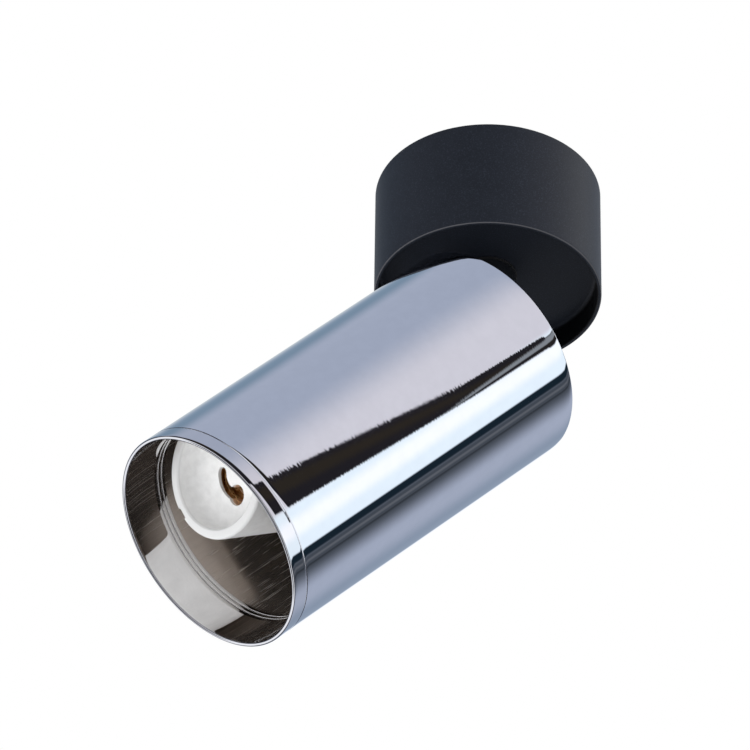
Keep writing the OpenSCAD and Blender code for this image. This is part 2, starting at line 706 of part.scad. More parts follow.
// Section of the front ring: collar, mouth that tapers more the deeper it goes, and a banded sleeve
module front_ring_profile() {
    bands = [for (i = [0 : 2]) mouth_z + ring_taper_l + i * (ring_band_l + ring_groove)];
    mouth_r = tube_r - ring_mouth_t;
    taper = [for (i = [1 : 6]) let (t = i / 6)
        [mouth_r - (mouth_r - ring_ri) * t * (0.4 + 0.6 * t), mouth_z + ring_taper_l * t]];
    difference() {
        union() {
            difference() {
                translate([0, mouth_z]) square([tube_r, ring_collar_l]);
                for (z = [mouth_z, mouth_z + ring_collar_l]) translate([tube_r, z]) rotate([0, 0, 45])
                    square(edge_bevel * sqrt(2), center = true);
            }
            translate([0, mouth_z]) square([ring_sleeve_r, ring_l]);
        }
        polygon(concat([[0, mouth_z - through], [mouth_r + edge_bevel, mouth_z - through],
            [mouth_r + edge_bevel, mouth_z], [mouth_r, mouth_z + edge_bevel]], taper,
            [[ring_ri, mouth_z + ring_l + through], [0, mouth_z + ring_l + through]]));
        for (i = [0 : 1]) translate([0, bands[i] + ring_band_l])
            square([ring_ri + ring_groove, ring_groove]);
    }
}

module front_ring() {
    color("#c3c7ce") in_head() rotate_extrude($fn = round_fn) front_ring_profile();
}

// Keyhole for one pin of the lamp: a round eye and a curved neck about the axis
module pin_slot(h) {
    translate([pin_r, 0, 0]) cylinder(r = slot_eye_d / 2, h = h, $fn = small_fn);
    rotate([0, 0, lock_turn]) translate([pin_r, 0, 0])
        cylinder(r = slot_neck_w / 2 + fit, h = h, $fn = small_fn);
    rotate_extrude(angle = lock_turn, $fn = round_fn) translate([pin_r - slot_neck_w / 2, 0])
        square([slot_neck_w, h]);
}

// Both slots, half a turn apart
module slot_pair() {
    for (turn = [0, 180]) rotate([0, 0, turn]) children();
}

// Section of the ceramic body: rounded rim, deep dish and a side that draws in towards the cover
module holder_profile() {
    difference() {
        union() {
            polygon([[0, 0], [holder_r - rim_round, 0], [holder_r - rim_round, rim_round],
                [holder_r, rim_round], [holder_back_r, holder_l], [0, holder_l]]);
            translate([holder_r - rim_round, rim_round]) circle(rim_round, $fn = small_fn);
        }
        polygon([[0, -through], [dish_r + 0.4, -through], [dish_r + 0.4, 0], [dish_r, 0.4],
            [dish_r - 0.3, dish_h - dish_fillet], [0, dish_h - dish_fillet]]);
        square([dish_r - 0.3 - dish_fillet, dish_h]);
        translate([dish_r - 0.3 - dish_fillet, dish_h - dish_fillet]) circle(dish_fillet, $fn = small_fn);
    }
}

module lampholder_body() {
    chamber_h = holder_l - dish_h - web_t;
    color("#f3f1ec") in_holder() difference() {
        rotate_extrude($fn = round_fn) holder_profile();
        slot_pair() {
            translate([0, 0, dish_h - through]) pin_slot(web_t + 2 * through);
            rotate([0, 0, lock_turn / 2]) translate([chamber_in, -chamber.y / 2, dish_h + web_t])
                cube([chamber.x, chamber.y, chamber_h + through]);
        }
        for (side = [-1, 1]) rotate([0, 0, lock_turn / 2]) translate([0, side * rivet_y, holder_l - 6])
            cylinder(r = rivet_r + fit / 2, h = 6 + through, $fn = small_fn);
        rotate([0, 0, notch_at]) translate([holder_r - 0.4, -1.5, -through]) cube([2, 3, 3 + through]);
    }
}

// Two bronze clips, each with a pair of jaws along its slot and a tail to its lead
module lampholder_contacts() {
    jaw_gap = slot_neck_w - 1;
    top = dish_h + web_t + loose;
    color("#b07a3c") in_holder() slot_pair() {
        for (r = [pin_r - jaw_gap / 2 - contact_t, pin_r + jaw_gap / 2]) rotate([0, 0, 14])
            rotate_extrude(angle = lock_turn - 14, $fn = round_fn)
                translate([r, top]) square([contact_t, contact_h]);
        rotate([0, 0, 14]) rotate_extrude(angle = lock_turn - 14, $fn = round_fn)
            translate([pin_r - jaw_gap / 2 - contact_t, top + contact_h])
                square([jaw_gap + 2 * contact_t, contact_t]);
        rotate([0, 0, lock_turn / 2]) translate([exit_x - 1, -1.2, top + contact_h])
            cube([contact_t * 2, 2.4, holder_l - top - contact_h - loose]);
    }
}

module lampholder_cover() {
    bevel = 1.2;
    cover_r = holder_back_r - 0.4;
    color("#e9e6df") in_holder() difference() {
        rotate_extrude($fn = round_fn) polygon([[0, holder_l], [cover_r, holder_l],
            [cover_r, holder_back - bevel], [cover_r - bevel, holder_back], [0, holder_back]]);
        rotate([0, 0, lock_turn / 2]) {
            for (side = [-1, 1]) {
                translate([side * exit_x, 0, holder_l - through])
                    cylinder(r = exit_r, h = holder_cover_t + 2 * through, $fn = small_fn);
                translate([0, side * rivet_y, holder_l - through])
                    cylinder(r = rivet_r + fit / 2, h = holder_cover_t + 2 * through, $fn = small_fn);
            }
        }
    }
}

module lampholder_rivets() {
    color("#cfcfca") in_holder() rotate([0, 0, lock_turn / 2]) for (side = [-1, 1])
        translate([0, side * rivet_y, 0]) {
            translate([0, 0, holder_l - 5]) cylinder(r = rivet_r, h = 5 + holder_cover_t, $fn = small_fn);
            translate([0, 0, holder_back]) cylinder(r1 = rivet_r + 1, r2 = rivet_r, h = 0.9, $fn = small_fn);
        }
}

// A sleeved lead leaves the cover along the lampholder's axis, bows out and rises to the grommet.
// Its bow is a share of the tube's bore, so that it keeps to the room in the tube.
function head_route(side, a, bow) =
    let (exit = rot_z([side * exit_x, 0, holder_l + 0.5], lock_turn / 2),
         out = rot_z([side * exit_x, 0, holder_back + 1], lock_turn / 2),
         top = bore_point(a, -cap_recess - cap_t - 2))
    concat([[holder_point(exit), holder_dir([0, 0, 1])]],
        curve(holder_point(out), holder_point(out) + tube_ri * holder_dir([0, 0, 1]),
            top + tube_ri * bow, top, 22),
        [[bore_point(a, head_lead_top), [0, 0, 1]]]);

module live_lead() {
    color("#f1efe6") in_head() lead(head_route(1, head_live_at, [0.19, 0.31, -0.76]), sleeve_d);
}

module neutral_lead() {
    color("#dfe3ea") in_head() lead(head_route(-1, head_neutral_at, [-0.34, 0.12, -0.84]), sleeve_d);
}

// Earth lead from the grommet to the ring terminal under the end cap
module earth_lead() {
    out = rot_z([1, 0, 0], head_lug_turn);
    top = bore_point(head_earth_at, head_lug_z - 1.5);
    color("#7d9a3a") in_head() lead(concat([[head_lug_mouth - 2 * out, out]],
        curve(head_lug_mouth + 0.3 * out, head_lug_mouth + lug_l * out,
            top - [0, 0, lug_l + 2], top, 16),
        [[bore_point(head_earth_at, head_lead_top), [0, 0, 1]]]), lead_d);
}

module head_earth_lug() {
    color("#d0cfc8") in_head() translate([head_earth_pos.x, head_earth_pos.y, head_lug_z])
        rotate([0, 0, head_lug_turn]) mirror([0, 0, 1]) ring_lug();
}

module head_earth_screw() {
    color("#c9b26a") in_head() translate([head_earth_pos.x, head_earth_pos.y, head_lug_z - lug_t])
        rotate([180, 0, 0]) cap_screw(screw_r, cap_t + lug_t, screw_head_d / 2, screw_head_h);
}

canopy_shell();
ceiling_plate();
canopy_grub_screws();
supply_grommet();
terminal_block();
terminal_tubes();
terminal_screws();
terminal_fixing_screw();
plate_earth_screw();
plate_earth_lug();
canopy_live_lead();
canopy_neutral_lead();
canopy_earth_lead();
swivel_stop_pin();
swivel_stem();
stem_washer();
spindle_washer();
swivel_stop_washer();
spindle_nut();
stem_leads();
hinge_washers();
hinge_screws();
hinge_bracket();
bracket_screws();
head_end_cap();
cap_grub_screws();
cap_grommet();
head_tube();
front_ring();
lampholder_body();
lampholder_contacts();
lampholder_cover();
lampholder_rivets();
live_lead();
neutral_lead();
earth_lead();
head_earth_lug();
head_earth_screw();
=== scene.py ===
"""Ceiling spotlight with a round black canopy, a hollow swivel stem and a chrome lamp tube.

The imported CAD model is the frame. Lathed, swept and carved surfaces worked out with numpy stand
for its visible solids. Every other solid is carried over with eased edges and a finish of its own.
Lengths in this file are in millimetres, and meshes are written in metres.
"""
import logging
import math
from dataclasses import dataclass
from enum import Enum
from typing import Any, Sequence

import bmesh
import bpy
import numpy as np
from mathutils import Matrix, Vector


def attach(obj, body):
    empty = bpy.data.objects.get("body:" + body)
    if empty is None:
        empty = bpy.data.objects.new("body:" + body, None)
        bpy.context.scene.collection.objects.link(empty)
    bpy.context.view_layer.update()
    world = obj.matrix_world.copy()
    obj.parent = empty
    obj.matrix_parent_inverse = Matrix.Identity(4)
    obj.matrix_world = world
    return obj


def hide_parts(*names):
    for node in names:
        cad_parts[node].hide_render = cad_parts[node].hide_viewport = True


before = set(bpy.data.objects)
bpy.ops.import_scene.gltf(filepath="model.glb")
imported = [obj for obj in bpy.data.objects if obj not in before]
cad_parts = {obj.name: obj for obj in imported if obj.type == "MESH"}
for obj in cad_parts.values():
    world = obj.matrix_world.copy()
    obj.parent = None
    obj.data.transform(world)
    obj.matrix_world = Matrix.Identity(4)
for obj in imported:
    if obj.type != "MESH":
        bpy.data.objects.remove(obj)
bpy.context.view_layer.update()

MM = 0.001
Array = np.ndarray
Pair = tuple[float, float]
Triple = tuple[float, float, float]
Colour = Triple
log = logging.getLogger("spotlight")


class Body(Enum):
    """The rigid bodies that pieces ride on."""

    CANOPY = "canopy"
    SWIVEL = "swivel"
    HEAD = "head"
    RING = "ring"


# ---- places and curves


def turn(axis: str, degrees: float) -> Array:
    """The matrix that turns column vectors about "x", "y" or "z", by the right-hand rule."""
    c, s = math.cos(math.radians(degrees)), math.sin(math.radians(degrees))
    about_x = np.array([[1, 0, 0], [0, c, -s], [0, s, c]])
    return np.roll(about_x, "xyz".index(axis), (0, 1))


@dataclass(frozen=True)
class Place:
    """A local frame: its origin and its axes, as columns, in the row frame."""

    origin: Array
    axes: Array

    def points(self, local: Any) -> Array:
        """Local points in the row frame."""
        return np.asarray(local, float) @ self.axes.T + self.origin

    def inside(self, origin: Sequence[float] = (0, 0, 0), axes: Array = np.eye(3)) -> "Place":
        """A place given by its origin and axes in this one."""
        return Place(self.points(origin), self.axes @ axes)


ROW = Place(np.zeros(3), np.eye(3))
PIVOT_Z = -49.2
HEAD_LEAN = 43.5
HEAD = Place(np.array([0, 0, PIVOT_Z]), turn("y", HEAD_LEAN))
MOUTH_Z = -97.8
HOLDER = HEAD.inside(
    (-11.154, -4.873, MOUTH_Z + 12.1), turn("z", 50) @ turn("y", 27) @ turn("z", -5)
)


def unit(v: Array) -> Array:
    """Vectors of length 1 along the last axis."""
    return v / np.maximum(np.linalg.norm(v, axis=-1, keepdims=True), 1e-12)


def rounded(corners: Sequence[Triple], steps: int = 6) -> Array:
    """A closed section whose corners are arcs.

    Each arc touches both sides that meet at its corner: its centre lies on the bisector at
    radius / sin(half the corner's angle), and its points turn evenly from one touch to the other.

    Args:
        corners: (r, z, radius of the corner), in order round the section.
        steps: points on each arc.

    Returns:
        The section's points, n by 2.
    """
    c = np.array(corners, float)
    p, radius = c[:, :2], np.maximum(c[:, 2:], 1e-5)
    back, ahead = unit(np.roll(p, 1, 0) - p), unit(np.roll(p, -1, 0) - p)
    half = np.arccos(np.clip((back * ahead).sum(1, keepdims=True), -1, 1)) / 2
    middle = p + unit(back + ahead) * radius / np.sin(half)
    a = p + back * radius / np.tan(half) - middle
    b = p + ahead * radius / np.tan(half) - middle
    sweep = np.maximum(np.pi - 2 * half, 1e-4)[:, None]
    t = np.linspace(0, 1, steps)[None, :, None]
    arc = (np.sin((1 - t) * sweep) * a[:, None] + np.sin(t * sweep) * b[:, None]) / np.sin(sweep)
    return (middle[:, None] + arc).reshape(-1, 2)


def lengths(path: Array) -> Array:
    """The length along a path up to each of its points."""
    return np.concatenate([[0], np.cumsum(np.linalg.norm(np.diff(path, axis=0), axis=1))])


def resampled(path: Array, places: Array) -> Array:
    """A path's points at some lengths along it."""
    return np.stack([np.interp(places, lengths(path), column) for column in path.T], 1)


def refined(section: Array, step: float) -> Array:
    """A closed section with points at most a step apart: its own, and even ones between them."""
    loop = np.vstack([section, section[:1]])
    s = lengths(loop)
    even = np.linspace(0, s[-1], max(2, int(s[-1] / step)), endpoint=False)
    gap = np.abs(even[:, None] - s[None]).min(1)
    return resampled(loop, np.sort(np.concatenate([s[:-1], even[gap > 0.3 * step]])))


def rectangle(near: float, far: float, half: float) -> Array:
    """The outline of a rectangle from x near to x far, half of its width on each side of y 0."""
    return np.array([[near, -half], [far, -half], [far, half], [near, half]])


def bezier(a: Array, b: Array, c: Array, d: Array, steps: int) -> Array:
    """Cubic curve from a to d with handles b and c: each handle weighted by its Bernstein term."""
    t = np.linspace(0, 1, steps + 1)[:, None]
    return a * (1 - t) ** 3 + 3 * b * t * (1 - t) ** 2 + 3 * c * t**2 * (1 - t) + d * t**3


# ---- surfaces


@dataclass
class Surface:
    """Points, quads and the quads' corner coordinates on the surface, in millimetres."""

    points: Array
    quads: Array
    uv: Array
    slot: int = 0

    def outward(self) -> "Surface":
        """This closed surface, its faces turned outwards by the sign of the volume it holds."""
        a, b, c, d = np.moveaxis((self.points - self.points.mean(0))[self.quads], 1, 0)
        if (a * (np.cross(b, c) + np.cross(c, d))).sum() < 0:
            self.quads, self.uv = self.quads[:, ::-1], self.uv[:, ::-1]
        return self

    def split(self, second: Array) -> list["Surface"]:
        """The same faces in two material slots, those of a mask in the second."""
        masks = enumerate((~second, second))
        return [Surface(self.points, self.quads[m], self.uv[m], slot) for slot, m in masks]

    def parted(self, reach: float) -> list["Surface"]:
        """The same faces, those nearer to the head's axis than a reach in the second slot."""
        middle = self.points[self.quads].mean(1) - HEAD.origin
        return self.split(np.linalg.norm(np.cross(middle, HEAD.axes[:, 2]), axis=1) < reach)


def loft(rings: Array, closed: bool) -> Surface:
    """A skin over closed rings of points.

    Ring i and ring i + 1 are joined by quads. A closed row of rings joins its last to its first,
    and an open one has each end shut by a ring drawn in to its own middle.

    Args:
        rings: rows by columns by 3, each row a closed ring.
        closed: whether the last ring joins the first.

    Returns:
        The surface, with coordinates measured along and across the rings.
    """
    if not closed:
        ends = [np.repeat(r.mean(0)[None], len(r), 0)[None] for r in (rings[0], rings[-1])]
        rings = np.concatenate([ends[0], rings, ends[1]])
    rows, cols = rings.shape[:2]
    across = np.linalg.norm(np.roll(rings, -1, 1) - rings, axis=2).mean(0)
    along = np.linalg.norm(np.roll(rings, -1, 0) - rings, axis=2).mean(1)
    u, v = np.concatenate([[0], np.cumsum(across)]), np.concatenate([[0], np.cumsum(along)])
    i, j = np.meshgrid(np.arange(rows if closed else rows - 1), np.arange(cols), indexing="ij")
    i, j = i.ravel(), j.ravel()
    corners = [(i, j), (i + 1, j), (i + 1, j + 1), (i, j + 1)]
    quads = np.stack([(a % rows) * cols + b % cols for a, b in corners], 1)
    uv = np.stack([np.stack([u[b], v[a]], 1) for a, b in corners], 1)
    return Surface(rings.reshape(-1, 3), quads, uv).outward()


def lathe(section: Array, place: Place, segments: int, end: float = 360) -> Surface:
    """A section turned about a place's z axis.

    A section point (r, z) goes to (r cos a, r sin a, z) for each angle a. Of a section that runs
    along the axis, only the rest is turned, ring by ring, and each of its ends is shut by a pole.

    Args:
        section: closed outline of (r, z).
        place: where the axis stands.
        segments: steps round the turn.
        end: last angle, in degrees from x; a full turn closes on itself.

    Returns:
        The turned surface in the row frame.
    """
    full = end >= 360
    a = np.radians(np.linspace(0, end, segments + (not full), endpoint=not full))[:, None]
    on_axis = section[:, 0] < 1e-3
    if on_axis.any():
        last = np.flatnonzero(on_axis & ~np.roll(on_axis, -1))[0]
        section = np.roll(section, -last - 1, 0)[: np.count_nonzero(~on_axis)]
    r, z = section[None, :, 0], section[None, :, 1]
    rings = np.stack([r * np.cos(a), r * np.sin(a), z + 0 * a], 2)
    if on_axis.any():
        return loft(place.points(rings.transpose(1, 0, 2)), False)
    return loft(place.points(rings), full)


def rod(radius: float, low: float, high: float, place: Place) -> Surface:
    """A round rod along a place's z axis, with eased ends."""
    corners = [(1e-4, low, 0), (radius, low, 0.05), (radius, high, 0.05), (1e-4, high, 0)]
    return lathe(rounded(corners, 4), place, 48)


def drills(place: Place, z: float, angles: Pair, radius: float, wall: Pair) -> list[Surface]:
    """Rods square to a place's axis, to drill a turned wall with.

    Args:
        place: the wall's place.
        z: height of the holes.
        angles: their angles round the axis, in degrees.
        radius: their radius.
        wall: the wall's inner and outer radius, which the rods pass by 1 mm.

    Returns:
        The rods.
    """
    sideways = [turn("z", angle) @ turn("y", 90) for angle in angles]
    low, high = wall[0] - 1, wall[1] + 1
    return [rod(radius, low, high, place.inside((0, 0, z), axes)) for axes in sideways]


def block(outline: Array, low: float, high: float, place: Place) -> Surface:
    """An outline of (x, y) raised along a place's z axis."""
    rings = [np.hstack([outline, np.full((len(outline), 1), z)]) for z in (low, high)]
    return loft(place.points(np.stack(rings)), False)


def sweep(path: Array, radius: Array, sides: int, closed: bool = False) -> Surface:
    """A round form along a path.

    At each station the ring lies square to the path's direction t: its points are the station plus
    the radius times cos a u + sin a v, with u along t cross a fixed vector and v along t cross u.

    Args:
        path: stations, n by 3.
        radius: radius at each station and side, n by sides, or one number.
        sides: points round the ring.
        closed: whether the path runs back into its start; else both ends are shut.

    Returns:
        The swept surface.
    """
    t = unit(np.roll(path, -1, 0) - np.roll(path, 1, 0) if closed else np.gradient(path, axis=0))
    u = unit(np.cross(t, [0.31, 0.95, 0.07]))
    v = np.cross(t, u)
    a = np.linspace(0, 2 * np.pi, sides, endpoint=False)[None, :, None]
    r = np.broadcast_to(radius, (len(path), sides))[:, :, None]
    return loft(path[:, None] + r * (np.cos(a) * u[:, None] + np.sin(a) * v[:, None]), closed)


# ---- pieces


def finish_mesh(mesh: bpy.types.Mesh, sharp: float) -> None:
    """Merges doubles in a mesh in metres, and shades it smooth up to an angle in degrees."""
    work = bmesh.new()
    work.from_mesh(mesh)
    bmesh.ops.remove_doubles(work, verts=work.verts, dist=2e-7)
    bmesh.ops.dissolve_degenerate(work, edges=work.edges, dist=1e-8)
    work.to_mesh(mesh)
    work.free()
    mesh.shade_smooth()
    mesh.set_sharp_from_angle(angle=math.radians(sharp))


def mesh_of(name: str, surfaces: Sequence[Surface]) -> bpy.types.Mesh:
    """One mesh in metres from surfaces in millimetres, with a UV map in millimetres."""
    start = np.cumsum([0] + [len(s.points) for s in surfaces])
    points = np.concatenate([s.points for s in surfaces]) * MM
    quads = np.concatenate([s.quads + n for s, n in zip(surfaces, start)])
    uv = np.concatenate([s.uv for s in surfaces]).reshape(-1, 2)
    slots = np.concatenate([np.full(len(s.quads), s.slot, np.int32) for s in surfaces])
    mesh = bpy.data.meshes.new(name)
    mesh.from_pydata(points, [], quads, shade_flat=False)
    mesh.polygons.foreach_set("material_index", slots)
    mesh.uv_layers.new(name="UVMap").uv.foreach_set("vector", uv.astype(np.float32).ravel())
    return mesh


def placed(name: str, data: Any) -> bpy.types.Object:
    """A new object for a mesh, light or camera, linked to the scene."""
    obj = bpy.data.objects.new(name, data)
    bpy.context.collection.objects.link(obj)
    return obj


def carve(obj: bpy.types.Object, cutters: Sequence[Surface]) -> None:
    """Takes closed surfaces out of a closed piece, exactly and one by one, as they may overlap."""
    tools = [placed("cutter", mesh_of("cutter", [surface])) for surface in cutters]
    for tool in tools:
        finish_mesh(tool.data, 30)
        cut = obj.modifiers.new("carve", "BOOLEAN")
        cut.operation, cut.solver, cut.object = "DIFFERENCE", "EXACT", tool
    done = obj.evaluated_get(bpy.context.evaluated_depsgraph_get())
    old, obj.data = obj.data, bpy.data.meshes.new_from_object(done)
    obj.modifiers.clear()
    bpy.data.meshes.remove(old)
    for tool in tools:
        bpy.data.objects.remove(tool)


def add_piece(
    name: str,
    body: Body,
    surfaces: Sequence[Surface],
    finishes: Sequence["Finish"],
    replaces: str = "",
    cutters: Sequence[Surface] = (),
    sharp: float = 32,
) -> None:
    """Makes a piece from surfaces, dresses it and lets it ride.

    Args:
        name: the piece's name.
        body: what it rides on.
        surfaces: its closed surfaces.
        finishes: one for each slot of its mesh, the first named after the record's slot.
        replaces: the CAD node that it stands for, if any.
        cutters: closed surfaces that are taken out of it.
        sharp: angle in degrees past which edges stay sharp.
    """
    obj = placed(name, mesh_of(name, surfaces))
    finish_mesh(obj.data, sharp)
    for finish in finishes:
        obj.data.materials.append(finish.material())
    if cutters:
        carve(obj, cutters)
        finish_mesh(obj.data, sharp)
    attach(obj, body.value)
    if replaces:
        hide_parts(replaces)
    log.info("%s: %d faces on %s", name, len(obj.data.polygons), body.value)


def carry(
    body: Body, finishes: dict[str, "Finish"], ease: float = 0.06, sharp: float = 35
) -> None:
    """Stands merged copies of CAD nodes in for them, with their edges eased.

    Args:
        body: what they ride on.
        finishes: each node's finish, named after the record's slot.
        ease: width of the eased edges in millimetres, or 0 for none.
        sharp: angle in degrees past which edges stay sharp.
    """
    for node, finish in finishes.items():
        obj = placed(f"{node}_eased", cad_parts[node].data.copy())
        obj.data.materials.clear()
        obj.data.materials.append(finish.material())
        finish_mesh(obj.data, sharp)
        if ease:
            bevel = obj.modifiers.new("ease", "BEVEL")
            bevel.width, bevel.segments, bevel.limit_method = ease * MM, 2, "ANGLE"
            bevel.angle_limit, bevel.harden_normals = math.radians(40), True
        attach(obj, body.value)
        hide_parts(node)
        log.info("%s carried over on %s", node, body.value)


# ---- shader graphs


class Sock:
    """A shader value whose arithmetic adds Math nodes to its graph."""

    def __init__(self, graph: "Graph", socket: bpy.types.NodeSocket) -> None:
        """Wraps one output socket of a graph."""
        self.graph, self.socket = graph, socket

    def math(self, operation: str, *others: Any) -> "Sock":
        """One Math node on this value and up to two others."""
        node = self.graph.node("ShaderNodeMath", {"operation": operation}, self, *others)
        return self.graph.out(node)

    def __add__(self, other: Any) -> "Sock":
        """Sum."""
        return self.math("ADD", other)

    def __mul__(self, other: Any) -> "Sock":
        """Product."""
        return self.math("MULTIPLY", other)

    def __sub__(self, other: Any) -> "Sock":
        """Difference."""
        return self.math("SUBTRACT", other)

    def step(self, low: float, high: float) -> "Sock":
        """A smooth step from 0 at low to 1 at high, which may be the smaller of the two."""
        ends = (min(low, high), max(low, high), float(low > high), float(low <= high))
        smooth = {"interpolation_type": "SMOOTHSTEP"}
        return self.graph.out(self.graph.node("ShaderNodeMapRange", smooth, self, *ends))


class Graph:
    """The node tree of a material or the world."""

    def __init__(self, tree: bpy.types.NodeTree) -> None:
        """Takes over a tree and empties it."""
        self.tree = tree
        tree.nodes.clear()

    def node(
        self, kind: str, settings: dict[str, Any], *values: Any, **named: Any
    ) -> bpy.types.Node:
        """Adds a node.

        Args:
            kind: the node's type.
            settings: its properties.
            values: constants or Socks for the first inputs, in order; None leaves one alone.
            named: the same by input name, with _ for a space.

        Returns:
            The node.
        """
        node = self.tree.nodes.new(kind)
        for key, value in settings.items():
            setattr(node, key, value)
        pairs = list(zip(node.inputs, values))
        pairs += [(node.inputs[key.replace("_", " ")], value) for key, value in named.items()]
        for socket, value in pairs:
            if isinstance(value, Sock):
                self.tree.links.new(value.socket, socket)
            elif value is not None:
                socket.default_value = (*value, 1) if socket.type == "RGBA" else value
        return node

    def out(self, node: bpy.types.Node, name: str | int = 0) -> Sock:
        """An output of a node."""
        return Sock(self, node.outputs[name])

    def mix(self, factor: Any, a: Any, b: Any) -> Sock:
        """Colour a turning into colour b as the factor goes from 0 to 1."""
        others = [None] * 5  # the inputs for numbers and vectors, before those for colours
        node = self.node("ShaderNodeMix", {"data_type": "RGBA"}, factor, *others, a, b)
        return self.out(node, 2)

    def coords(self, name: str) -> Sock:
        """One kind of texture coordinates."""
        return self.out(self.node("ShaderNodeTexCoord", {}), name)

    def local(self, place: Place) -> Sock:
        """Object coordinates turned into a place's own frame, in millimetres."""
        origin, angles = (place.origin * MM).tolist(), Matrix(place.axes.tolist()).to_euler()
        back = {"vector_type": "TEXTURE"}
        values = (self.coords("Object"), origin, angles, (MM, MM, MM))
        return self.out(self.node("ShaderNodeMapping", back, *values))

    def noise(self, vector: Sock, scale: float, detail: float = 2, rough: float = 0.5) -> Sock:
        """Noise from 0 to 1 whose features are about 1 / scale across."""
        sockets = {"Scale": scale, "Detail": detail, "Roughness": rough}
        return self.out(self.node("ShaderNodeTexNoise", {}, vector, **sockets))

    def vector(self, operation: str, *values: Any, out: str = "Value") -> Sock:
        """One Vector Math node."""
        return self.out(self.node("ShaderNodeVectorMath", {"operation": operation}, *values), out)

    def scaled(self, vector: Sock, x: float, y: float, z: float) -> Sock:
        """A vector multiplied along each axis."""
        return self.vector("MULTIPLY", vector, (x, y, z), out="Vector")

    def part(self, vector: Sock, axis: str) -> Sock:
        """A vector's share along "X", "Y" or "Z"."""
        return self.out(self.node("ShaderNodeSeparateXYZ", {}, vector), axis)

    def bump(self, height: Sock, depth_mm: float, normal: Sock | None = None) -> Sock:
        """A bump of the given depth for heights from 0 to 1, on top of another bump if any."""
        sockets = {"Strength": 1.0, "Distance": depth_mm * MM, "Height": height, "Normal": normal}
        return self.out(self.node("ShaderNodeBump", {}, **sockets))

    def surface(self, **sockets: Any) -> None:
        """Ends the material in one Principled shader with these inputs."""
        shader = self.node("ShaderNodeBsdfPrincipled", {}, **sockets)
        self.node("ShaderNodeOutputMaterial", {}, self.out(shader))


# ---- finishes


@dataclass(frozen=True)
class Finish:
    """A named finish; subclasses say what its graph is."""

    name: str
    colour: Colour

    def material(self) -> bpy.types.Material:
        """The finish's material, made once; the ending sets its name apart from the CAD's own."""
        name = f"{self.name}_finish"
        found = bpy.data.materials.get(name)
        if found is None:
            found = bpy.data.materials.new(name)
            found.use_nodes = True
            self.paint(Graph(found.node_tree))
        return found

    def paint(self, g: Graph) -> None:
        """Builds the material's graph in an empty one."""
        raise NotImplementedError

    def shade(self, factor: float) -> Colour:
        """The finish's colour, lighter or darker."""
        return tuple(share * factor for share in self.colour)


@dataclass(frozen=True)
class PowderCoat(Finish):
    """Matt powder coat: a fine leathery grain under a slightly uneven sheen."""

    roughness: float = 0.5
    grain_mm: float = 0.35
    depth_mm: float = 0.006
    sheen: float = 0.22
    # rim (r, z) for a painted highlight on its outer corner and painted shade on the wall inside
    rim_highlight_wall_shade: Pair | None = None

    def paint(self, g: Graph) -> None:
        """Grain from two noises.

        Where the rim of a cup is given as (r, z), a painted highlight lightens the rim's outer
        corner, and painted shade blackens the wall inside it.
        """
        p = g.local(ROW)
        fine = g.noise(p, 1 / self.grain_mm, 2, 0.55)
        drift = g.noise(p, 0.22, 3)
        colour = g.mix(drift.step(0.3, 0.7), self.shade(0.97), self.shade(1.04))
        speck = g.noise(p, 1.1 / self.grain_mm, 1).step(0.5, 0.75)
        colour = g.mix(speck * 0.8, colour, self.shade(2.0))
        if self.rim_highlight_wall_shade is not None:
            radius, z = self.rim_highlight_wall_shade
            reach = g.vector("LENGTH", g.scaled(p, 1, 1, 0))
            # painted shade: the wall just inside the rim is darkened to near black
            wall = reach.step(radius - 1.6, radius - 1.1) * reach.step(radius - 0.7, radius - 0.85)
            colour = g.mix(wall, colour, self.shade(0.15))
            # painted highlight: a light line along the rim's outer corner
            rim = reach.step(radius - 0.32, radius - 0.2) * g.part(p, "Z").step(z + 0.22, z + 0.1)
            colour = g.mix(rim, colour, (0.10, 0.10, 0.11))
        g.surface(
            Base_Color=colour,
            Specular_IOR_Level=self.sheen,
            Roughness=fine * 0.1 + drift * 0.03 + (self.roughness - 0.065),
            Normal=g.bump(fine, self.depth_mm),
        )


@dataclass(frozen=True)
class Chrome(Finish):
    """Bright chrome plate over a turned tube: hair-fine rings round the axis and a faint wave."""

    roughness: float = 0.014
    ring_mm: float = 0.45
    depth_mm: float = 0.0007
    wave_mm: float = 0.001

    def paint(self, g: Graph) -> None:
        """Rings are noise that runs slowly round the axis and fast along it."""
        p = g.local(HEAD)
        rings = g.noise(g.scaled(p, 0.35, 0.35, 1 / self.ring_mm), 1, 0)
        wave = g.noise(g.scaled(p, 1, 1, 0.45), 0.11, 1)
        film = g.noise(p, 0.35, 3)
        hair = g.noise(g.scaled(p, 0.6, 0.6, 14), 1, 2)
        g.surface(
            Base_Color=g.mix(film.step(0.25, 0.75), self.shade(0.985), self.shade(1.015)),
            Metallic=1.0,
            Roughness=film * 0.006 + hair * 0.004 + (self.roughness - 0.005),
            Normal=g.bump(rings, self.depth_mm, g.bump(wave, self.wave_mm)),
        )


@dataclass(frozen=True)
class DrawnBore(Finish):
    """The bare inside of a drawn, plated tube: streaks and scratches along the axis, half matt."""

    warm: Colour = (0.56, 0.48, 0.42)

    def paint(self, g: Graph) -> None:
        """Streaks and scratches are noises that run fast round the axis and slowly along it."""
        p = g.local(HEAD)
        streak = g.noise(g.scaled(p, 2.6, 2.6, 0.05), 1, 4, 0.7)
        broad = g.noise(g.scaled(p, 0.5, 0.5, 0.03), 1, 2)
        scratch = g.noise(g.scaled(p, 4.4, 4.4, 0.11), 1, 2).step(0.6, 0.72)
        colour = g.mix(streak * 0.6 + broad * 0.4, self.warm, self.colour)
        g.surface(
            Base_Color=g.mix(scratch * 0.6, colour, (0.95, 0.92, 0.86)),
            Metallic=scratch * -0.4 + 0.94,
            Roughness=streak * 0.14 + scratch * 0.3 + 0.1,
            Normal=g.bump(streak, 0.005),
        )


